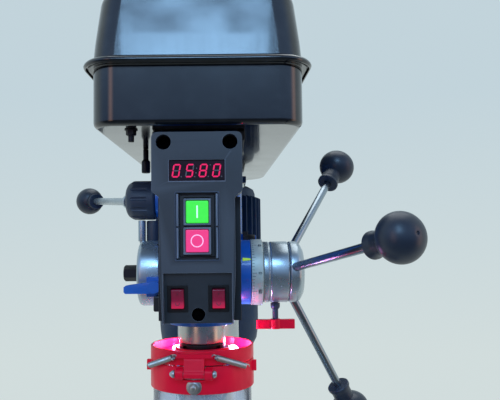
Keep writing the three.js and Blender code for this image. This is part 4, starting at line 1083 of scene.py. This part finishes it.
def segment(width, height, stroke, which):
    """One bar of a seven-segment digit, as a slim hexagon in X and Y."""
    half_w, half_h = width / 2, height / 2
    gap = stroke * 0.14
    spans = {
        "a": ((-half_w, half_h), (half_w, half_h)), "g": ((-half_w, 0), (half_w, 0)),
        "d": ((-half_w, -half_h), (half_w, -half_h)), "f": ((-half_w, 0), (-half_w, half_h)),
        "b": ((half_w, 0), (half_w, half_h)), "e": ((-half_w, -half_h), (-half_w, 0)),
        "c": ((half_w, -half_h), (half_w, 0)),
    }
    start, end = (Vector(p) for p in spans[which])
    way = (end - start).normalized()
    start, end = start + way * gap, end - way * gap
    side = Vector((-way.y, way.x)) * stroke / 2
    tip = way * stroke / 2
    return [start, start + tip + side, end - tip + side, end, end - tip - side, start + tip - side]


def digits_shape(text, height, stroke, lean=0.17, only_unlit=False, pitch=None):
    """Seven-segment digits in X and Y, centred on the origin and 0.3 deep along Z."""
    width = height * 0.52
    step = pitch or width + stroke * 2.4
    bars = []
    for i, character in enumerate(text):
        centre = (i - (len(text) - 1) / 2) * step
        for which in "abcdefg":
            if (which in SEGMENTS[character]) == only_unlit:
                continue
            points = [(p.x + p.y * lean + centre, p.y) for p in segment(width, height, stroke, which)]
            bars.append(prism(points, 0, 0.3))
    return gathered(*bars)


def display():
    x0, x1, z0, z1 = DISPLAY
    sheet = rectangle(x0 + 0.3, x1 - 0.3, z0 + 0.3, z1 - 0.3)
    glass = upright(sheet, FACE_FRONT + 1.2, FACE_FRONT + 4.7, 0.5)
    instead("display_window", glass, GLASS_BLACK, bevel=0.25)
    place = (about("X", 90), shifted(-0.3, FACE_FRONT + 1.25, (z0 + z1) / 2))
    text, height, pitch = "0580", 10.0, 11.1
    lit = digits_shape(text, height, 1.2, pitch=pitch)
    piece("display_digits", moved(lit, *place), DIGIT)
    unlit = digits_shape(text, height, 1.0, only_unlit=True, pitch=pitch)
    points = [((i - 1.5) * pitch + 4.1, -5.0) for i in range(len(text))]
    points += [(0.15, 1.9), (-0.35, -1.9), (pitch + 0.4, 4.6)]
    dots = [moved(round_bar(0.55, 0, 0.3, SMALL), shifted(x, y, 0)) for x, y in points]
    piece("display_unlit", moved(gathered(unlit, *dots), *place), DIGIT_OFF)
    back = FACE_FRONT + 1.5
    lip = gathered(
        block(x0 - 0.3, x1 + 0.3, FACE_FRONT - 0.2, back, z0 - 0.6, z0 + 0.3),
        block(x0 - 0.3, x0 + 0.3, FACE_FRONT - 0.05, back, z0 - 0.3, z1 + 0.2),
        block(x1 - 0.3, x1 + 0.3, FACE_FRONT - 0.1, back, z0 - 0.3, z1 + 0.2),
    )
    piece("display_lip", lip, FRAME_GREY, bevel=0.22)


def push_buttons():
    for node, look in (("start_button", GREEN), ("stop_button", PINK)):
        low, high = edges(node)
        cap = upright(rectangle(low.x, high.x, low.z, high.z), low.y, high.y, 1.0)
        instead(node, cap, look, bevel=0.8, segments=3)
        z = middle(node).z
        outer = upright(rectangle(-11.4, 11.4, z - 11.2, z + 11.2), low.y + 0.9, FACE_FRONT + 6.2, 1.1)
        inner = upright(rectangle(-9.5, 9.5, z - 9.5, z + 9.5), low.y - 2, FACE_FRONT + 8, 0.8)
        piece(f"{node}_frame", carved(outer, [inner]), FRAME_GREY, bevel=0.45)
    base = carved(
        upright(rectangle(-14.4, 14.4, 684.6, 735.4), FACE_FRONT + 2.2, FACE_FRONT + 6, 1.2),
        [upright(rectangle(-10.8, 10.8, 686.0, 733.4), FACE_FRONT, FACE_FRONT + 8)],
    )
    piece("button_base", base, DARK_PLASTIC, bevel=0.5)
    well_edge = carved(
        upright(rectangle(-18.5, 18.5, 681.1, 738.4), FACE_FRONT - 0.35, FACE_FRONT + 0.6, 1.6),
        [upright(rectangle(-17.5, 17.5, 682.1, 737.4), FACE_FRONT - 2, FACE_FRONT + 2, 1.2)],
    )
    piece("well_edge", well_edge, BLACK_PLASTIC, bevel=0.3)
    notch = block(-19, 19, FACE_FRONT - 1, FACE_FRONT + 5, 708.6, 709.8)
    rails = [
        upright(rectangle(x - 0.9, x + 0.9, 683.4, 736.6), FACE_FRONT + 0.3, FACE_FRONT + 5.9, 0.3)
        for x in (-16.3, 16.3)
    ]
    piece("well_rails", carved(gathered(*rails), [notch]), FRAME_GREY, bevel=0.25)
    front, z = edges("start_button")[0].y, middle("start_button").z
    bar = upright(rectangle(-0.65, 0.65, z - 5.2, z + 5.2), front - 0.15, front + 0.3, 0.4)
    piece("start_button_mark", bar, WHITE_MARK, "start_button")
    front, z = edges("stop_button")[0].y, middle("stop_button").z
    circle = sleeve(4.4, 5.3, 0, 0.45, MEDIUM * 2, 0.1)
    piece("stop_button_mark", moved(circle, ALONG_Y, shifted(0, front - 0.15, z)), PINK_MARK, "stop_button")


def rockers():
    half, tall = 5.1, 7.9
    line = softened([
        (-3, -tall), (-4.1, 0.4 - tall), (-2.6, 0), (-4.1, tall - 0.4), (-3, tall),
        (1.6, tall - 0.4), (1.6, 0.4 - tall),
    ], [0.4, 0.8, 4, 0.8, 0.4, 0, 0], steps=5, closed=True)
    for node in ("rocker_left", "rocker_right"):
        at = middle(node)
        place = (about("X", 9), shifted(at.x, ROCKER_Y, at.z))
        instead(node, moved(sideways(line, -half, half), *place), ROCKER, bevel=0.5)
        ring = moved(sleeve(1.35, 1.85, 0, 0.3, MEDIUM), ALONG_Y, about("X", -20), shifted(0, -3.42, -3.6))
        bar = moved(upright(rectangle(-0.25, 0.25, -1.5, 1.5), 0, 0.3), about("X", 20), shifted(0, -3.4, 3.8))
        piece(f"{node}_marks", moved(gathered(ring, bar), *place), DARK_MARK, node)


# ---- chuck guard ----
def guard():
    radius, inner = GUARD_RADIUS, GUARD_INNER
    ring_section = [
        (21.7, PLATE_LOW), (inner, PLATE_LOW), (inner, GUARD_SPLIT + 1), (radius, GUARD_SPLIT + 1),
        (radius, RING_TOP), (inner, RING_TOP), (inner, PLATE_TOP), (25.5, PLATE_TOP), (25.5, HUB_TOP),
        (21.7, HUB_TOP),
    ]
    ring_body = carved(turned(ring_section, ROUND, 0.5, closed=True), [
        moved(round_bar(5, 588, 598, MEDIUM), shifted(x, y, 0)) for x, y in LAMPS
    ])
    bar = prism(rectangle(-16, 16, -radius - 2.9, -radius + 1.5), BAR_LOW, BAR_TOP, 1.5)
    tongue_line = softened([
        (-radius + 0.6, 598.6), (-radius - 1.8, 598.8), (-radius - 3.4, 597), (-radius - 5.2, 587.5),
        (-radius - 6.8, 585.6), (-radius - 6.6, 581.8), (-radius - 4.6, 581.0), (-radius - 1.1, 581.6),
        (-radius - 1.1, 590.8), (-radius + 0.6, 591.2),
    ], 0.9, steps=3, closed=True)
    tongue = sideways(tongue_line, -8.8, 8.8)
    instead("guard_ring", moved(gathered(ring_body, bar, tongue), GUARD_YAW), RED_PAINT, bevel=0.4)
    lamps = [
        moved(turned([
            (0, PLATE_LOW - 0.6), (4.9, PLATE_LOW - 0.6), (4.9, PLATE_TOP + 0.2), (4.0, PLATE_TOP + 1.4),
            (2.2, PLATE_TOP + 2.3), (0, PLATE_TOP + 2.6),
        ], MEDIUM, 0.4), shifted(x, y, 0)) for x, y in LAMPS
    ]
    piece("work_lamps", moved(gathered(*lamps), GUARD_YAW), LAMP, "quill")
    for number, (x, y) in enumerate(LAMPS):
        data = bpy.data.lights.new(f"lamp_glow_{number}", "POINT")
        data.energy = 0.10
        data.color = (0.62, 0.42, 1.0)
        data.shadow_soft_size = 0.004
        glow = bpy.data.objects.new(f"lamp_glow_{number}", data)
        glow.location = GUARD_YAW @ (Vector((x, y, PLATE_TOP + 5)) * MM)
        bpy.context.scene.collection.objects.link(glow)
        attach(glow, "quill")
    guard_band()
    guard_hardware()


def open_band(inner, outer, low, high, half_opening, lip=0.5):
    """A band round the front, closed at both ends of its opening at the back."""
    first = math.radians(90) + half_opening
    last = math.radians(450) - half_opening
    section = softened(rectangle(inner, outer, low, high), lip, steps=2, closed=True)
    steps = 110
    rings = []
    for k in range(steps + 1):
        angle = first + (last - first) * k / steps
        rings.append([(p.x * math.cos(angle), p.x * math.sin(angle), p.y) for p in section])
    return lofted(rings)


def guard_band():
    radius, inner = GUARD_RADIUS, GUARD_INNER
    band = open_band(inner, radius, 566.5, GUARD_SPLIT, math.atan2(52, radius + 10))
    notch = block(-9.2, 9.2, -radius - 1, -radius + 9, 579.4, GUARD_SPLIT + 1)
    ear_line = softened([
        (-radius + 1, 579.6), (-radius - 5.0, 579.6), (-radius - 7.2, 581.8), (-radius - 7.2, 587.2),
        (-radius - 5.0, 589.4), (-radius + 1, 589.6),
    ], [0, 2.4, 2.4, 2.4, 2.4, 0], steps=5, closed=True)
    parts = [carved(band, [notch])]
    for side in (-1, 1):
        parts.append(sideways(ear_line, *sorted((side * 9.2, side * 16))))
        tab_x0, tab_x1 = sorted((side * (radius - 1), side * (radius + 3)))
        parts.append(block(tab_x0, tab_x1, -9, -5, 580, 589.5))
    parts.append(block(-9.1, 9.1, -radius - 1.9, -radius + 1, 577.6, 579.4))
    instead("guard_band", moved(gathered(*parts), GUARD_YAW), RED_PAINT, bevel=0.4)
    shield = open_band(inner - 2.3, inner - 0.3, 475, 580, math.atan2(60, inner - 0.3 + 10), lip=0.4)
    instead("guard_shield", moved(shield, GUARD_YAW), CLEAR)
    tip = turned([(0, 3), (2.5, 3), (2.5, 4.6), (1.6, 5.4), (0, 5.4)], SMALL, 0.4)
    bolt = gathered(bolt_head(9.2, 3.6), tip)
    bolt = moved(bolt, aimed((0, -1, 0), (-0.6, -radius - 0.9, 573.2)), GUARD_YAW)
    piece("guard_shield_bolt", bolt, ZINC, "guard")


def coil(start, end, radius, wire, turns):
    """A closed coil spring between two points, with a hook at each end."""
    start, end = Vector(start), Vector(end)
    way = (end - start).normalized()
    side = way.cross(Vector((0, 0, 1))).normalized()
    up = side.cross(way)
    hook, hook_steps, coil_steps = 4.0, 8, 14

    def hooked(centre):
        angles = [math.pi * (1 - k / hook_steps) for k in range(hook_steps + 1)]
        return [centre + way * math.cos(a) * hook / 2 + up * math.sin(a) * radius * 0.8 for a in angles]

    first, last = start + way * hook, end - way * hook
    points = hooked(start + way * hook / 2)
    for k in range(turns * coil_steps + 1):
        angle = FULL * k / coil_steps
        along = first.lerp(last, k / (turns * coil_steps))
        points.append(along + (up * math.cos(angle) + side * math.sin(angle)) * radius)
    points += hooked(end - way * hook / 2)
    return tube(points, wire, 8)


def guard_hardware():
    radius = GUARD_RADIUS
    pin = turned([
        (0, -21), (1.2, -21), (3.2, -18.6), (3.4, -16.6), (1.6, -16.4), (1.6, 16.4), (3.2, 16.4), (3.3, 17.6),
        (2.2, 19.4), (0, 19.9),
    ], MEDIUM, 0.35)
    instead("guard_pin", moved(pin, ALONG_X, shifted(0, GUARD_HINGE_Y, GUARD_HINGE_Z), GUARD_YAW), CHROME)
    bar_z = (BAR_LOW + BAR_TOP) / 2
    for name, side in (("guard_spring_left", -1), ("guard_spring_right", 1)):
        start = (side * 15.4, -radius - 3.0, bar_z)
        end = (side * 45.6, -radius + 19, 587)
        wound = moved(coil(start, end, 2.3, 0.5, 26), GUARD_YAW)
        spring = piece(f"{name}_shaped", wound, ZINC, None, [name])
        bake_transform(spring)


# ---- stage ----
def area_light(name, place, target, size, power, colour):
    data = bpy.data.lights.new(name, "AREA")
    data.shape = "RECTANGLE"
    data.size, data.size_y = size
    data.energy = power
    data.color = colour
    obj = bpy.data.objects.new(name, data)
    obj.location = place
    way = Vector(target) - Vector(place)
    obj.rotation_euler = way.to_track_quat("-Z", "Y").to_euler()
    obj.visible_camera = False
    bpy.context.scene.collection.objects.link(obj)
    return obj


def camera():
    data = bpy.data.cameras.new("camera")
    data.lens = 43.2
    data.sensor_width = 36
    data.shift_x = 0.042
    data.shift_y = 0.037
    data.clip_start = 0.01
    obj = bpy.data.objects.new("camera", data)
    obj.location = (0.0262, -0.567, 0.690)
    obj.rotation_euler = (about("X", 93) @ about("Z", -0.6)).to_euler()
    bpy.context.scene.collection.objects.link(obj)
    bpy.context.scene.camera = obj


def floor():
    reach = 1.7
    bm = bmesh.new()
    corners = [bm.verts.new((x * reach, y * reach, -0.0005)) for x, y in ((-1, -1), (1, -1), (1, 1), (-1, 1))]
    bm.faces.new(corners)
    obj = loose(bm, "floor")
    look = Look("pale floor")
    tone = look.ramp(look.noise(3), [(0.3, (0.52, 0.58, 0.60)), (0.7, (0.58, 0.63, 0.65))])
    look.set(Base_Color=tone, Roughness=0.85)
    obj.data.materials.append(look.owner)
    obj.visible_glossy = False


def banded(graph, height, stops):
    """A colour ramp over heights from -1, straight down, to 1, straight up."""
    level = graph.ranged(height, 0, 1, -1, 1)
    return graph.ramp(level, [((at + 1) / 2, colour) for at, colour in stops])


def world():
    """A pale room, lit from a bluish window side in front, with a darker ceiling and bench."""
    sky = bpy.data.worlds.new("studio")
    bpy.context.scene.world = sky
    graph = Graph(sky)
    _, forward, height = graph.split(graph.add("ShaderNodeTexCoord").outputs["Generated"])
    pale = banded(graph, height, [(-0.16, (0.64, 0.72, 0.72)), (0.24, (0.54, 0.655, 0.71))])
    front = banded(graph, height, [
        (-1.0, (0.17, 0.215, 0.235)), (-0.45, (0.06, 0.07, 0.075)), (-0.12, (0.07, 0.08, 0.09)),
        (-0.02, (0.22, 0.35, 0.58)), (0.17, (0.25, 0.39, 0.66)), (0.31, (0.46, 0.71, 1.1)),
        (0.72, (0.34, 0.52, 0.85)), (0.93, (0.04, 0.05, 0.12)),
    ])
    behind = graph.ranged(forward, 0, 1, -0.55, 0.15, interpolation_type="SMOOTHSTEP")
    around = graph.mixed(behind, front, pale)
    seen = graph.add("ShaderNodeLightPath").outputs["Is Camera Ray"]
    graph.fill(graph.tree.nodes["Background"], {"Color": graph.mixed(seen, around, pale)})


def clouded(light, low, high, scale, edge, streaks):
    """Gives a soft light cloudy patches over its face, and a streaked band below the edge given."""
    graph = Graph(light.data)
    place = graph.add("ShaderNodeNewGeometry").outputs["Parametric"]
    across, up, _ = graph.split(place)
    clouds = graph.add("ShaderNodeTexNoise", {"Vector": place, "Scale": scale, "Detail": 3})
    stripes = graph.add("ShaderNodeTexNoise", noise_dimensions="1D")
    graph.fill(stripes, {"W": across, "Scale": streaks, "Detail": 3})
    cloudy = graph.ranged(clouds.outputs["Fac"], low, high, 0.36, 0.62)
    streaky = graph.ranged(stripes.outputs["Fac"], high * 0.8, high * 1.4, 0.36, 0.62)
    below = graph.ranged(up, 0, 1, edge + 0.02, edge - 0.02, interpolation_type="SMOOTHSTEP")
    mix = graph.add("ShaderNodeMix", {"Factor": below, "A": cloudy, "B": streaky})
    graph.fill(graph.tree.nodes["Emission"], {"Strength": mix.outputs["Result"]})


def feathered(light, peak):
    """Fades a strip light towards its two sides, so that its reflection has soft edges."""
    graph = Graph(light.data)
    across = graph.split(graph.add("ShaderNodeNewGeometry").outputs["Parametric"])["X"]
    offset = graph.add("ShaderNodeMath", {0: across, 1: 0.5}, operation="SUBTRACT")
    away = graph.add("ShaderNodeMath", {0: offset.outputs[0]}, operation="ABSOLUTE")
    strength = graph.ranged(away.outputs[0], 0, peak, 0.5, 0, interpolation_type="SMOOTHSTEP")
    graph.fill(graph.tree.nodes["Emission"], {"Strength": strength})


def lights():
    cool = (0.34, 0.64, 1.0)
    warm = (1.0, 0.56, 0.36)
    window = area_light("window", (-0.09, -1.57, 1.86), (-0.02, -0.05, 0.87), (0.56, 0.74), 15.5, cool)
    clouded(window, low=0.12, high=0.95, scale=3.6, edge=0.375, streaks=60)
    machine = (0, 0, 0.75)
    for name, place, size, power in (
        ("left_strip", (-0.75, -1.35, 0.9), (0.8, 1.1), 3.8),
        ("right_strip", (1.34, -0.36, 0.85), (0.8, 1.2), 3.6),
    ):
        feathered(area_light(name, place, machine, size, power, warm), peak=1.1)
    area_light("top_soft", (0.3, 0.6, 2.6), (0, 0, 0.6), (1.6, 1.6), 14, (0.95, 0.98, 1.0))


def main():
    bpy.context.scene.view_settings.view_transform = "Standard"
    camera()
    floor()
    world()
    lights()
    base_and_column()
    table_and_lift()
    crank()
    head()
    quill_and_chuck()
    feed()
    depth_stop()
    return_and_locks()
    speed_change()
    lid()
    pan()
    belt_drive()
    motor()
    control_face()
    control_box()
    display()
    push_buttons()
    rockers()
    guard()


main()
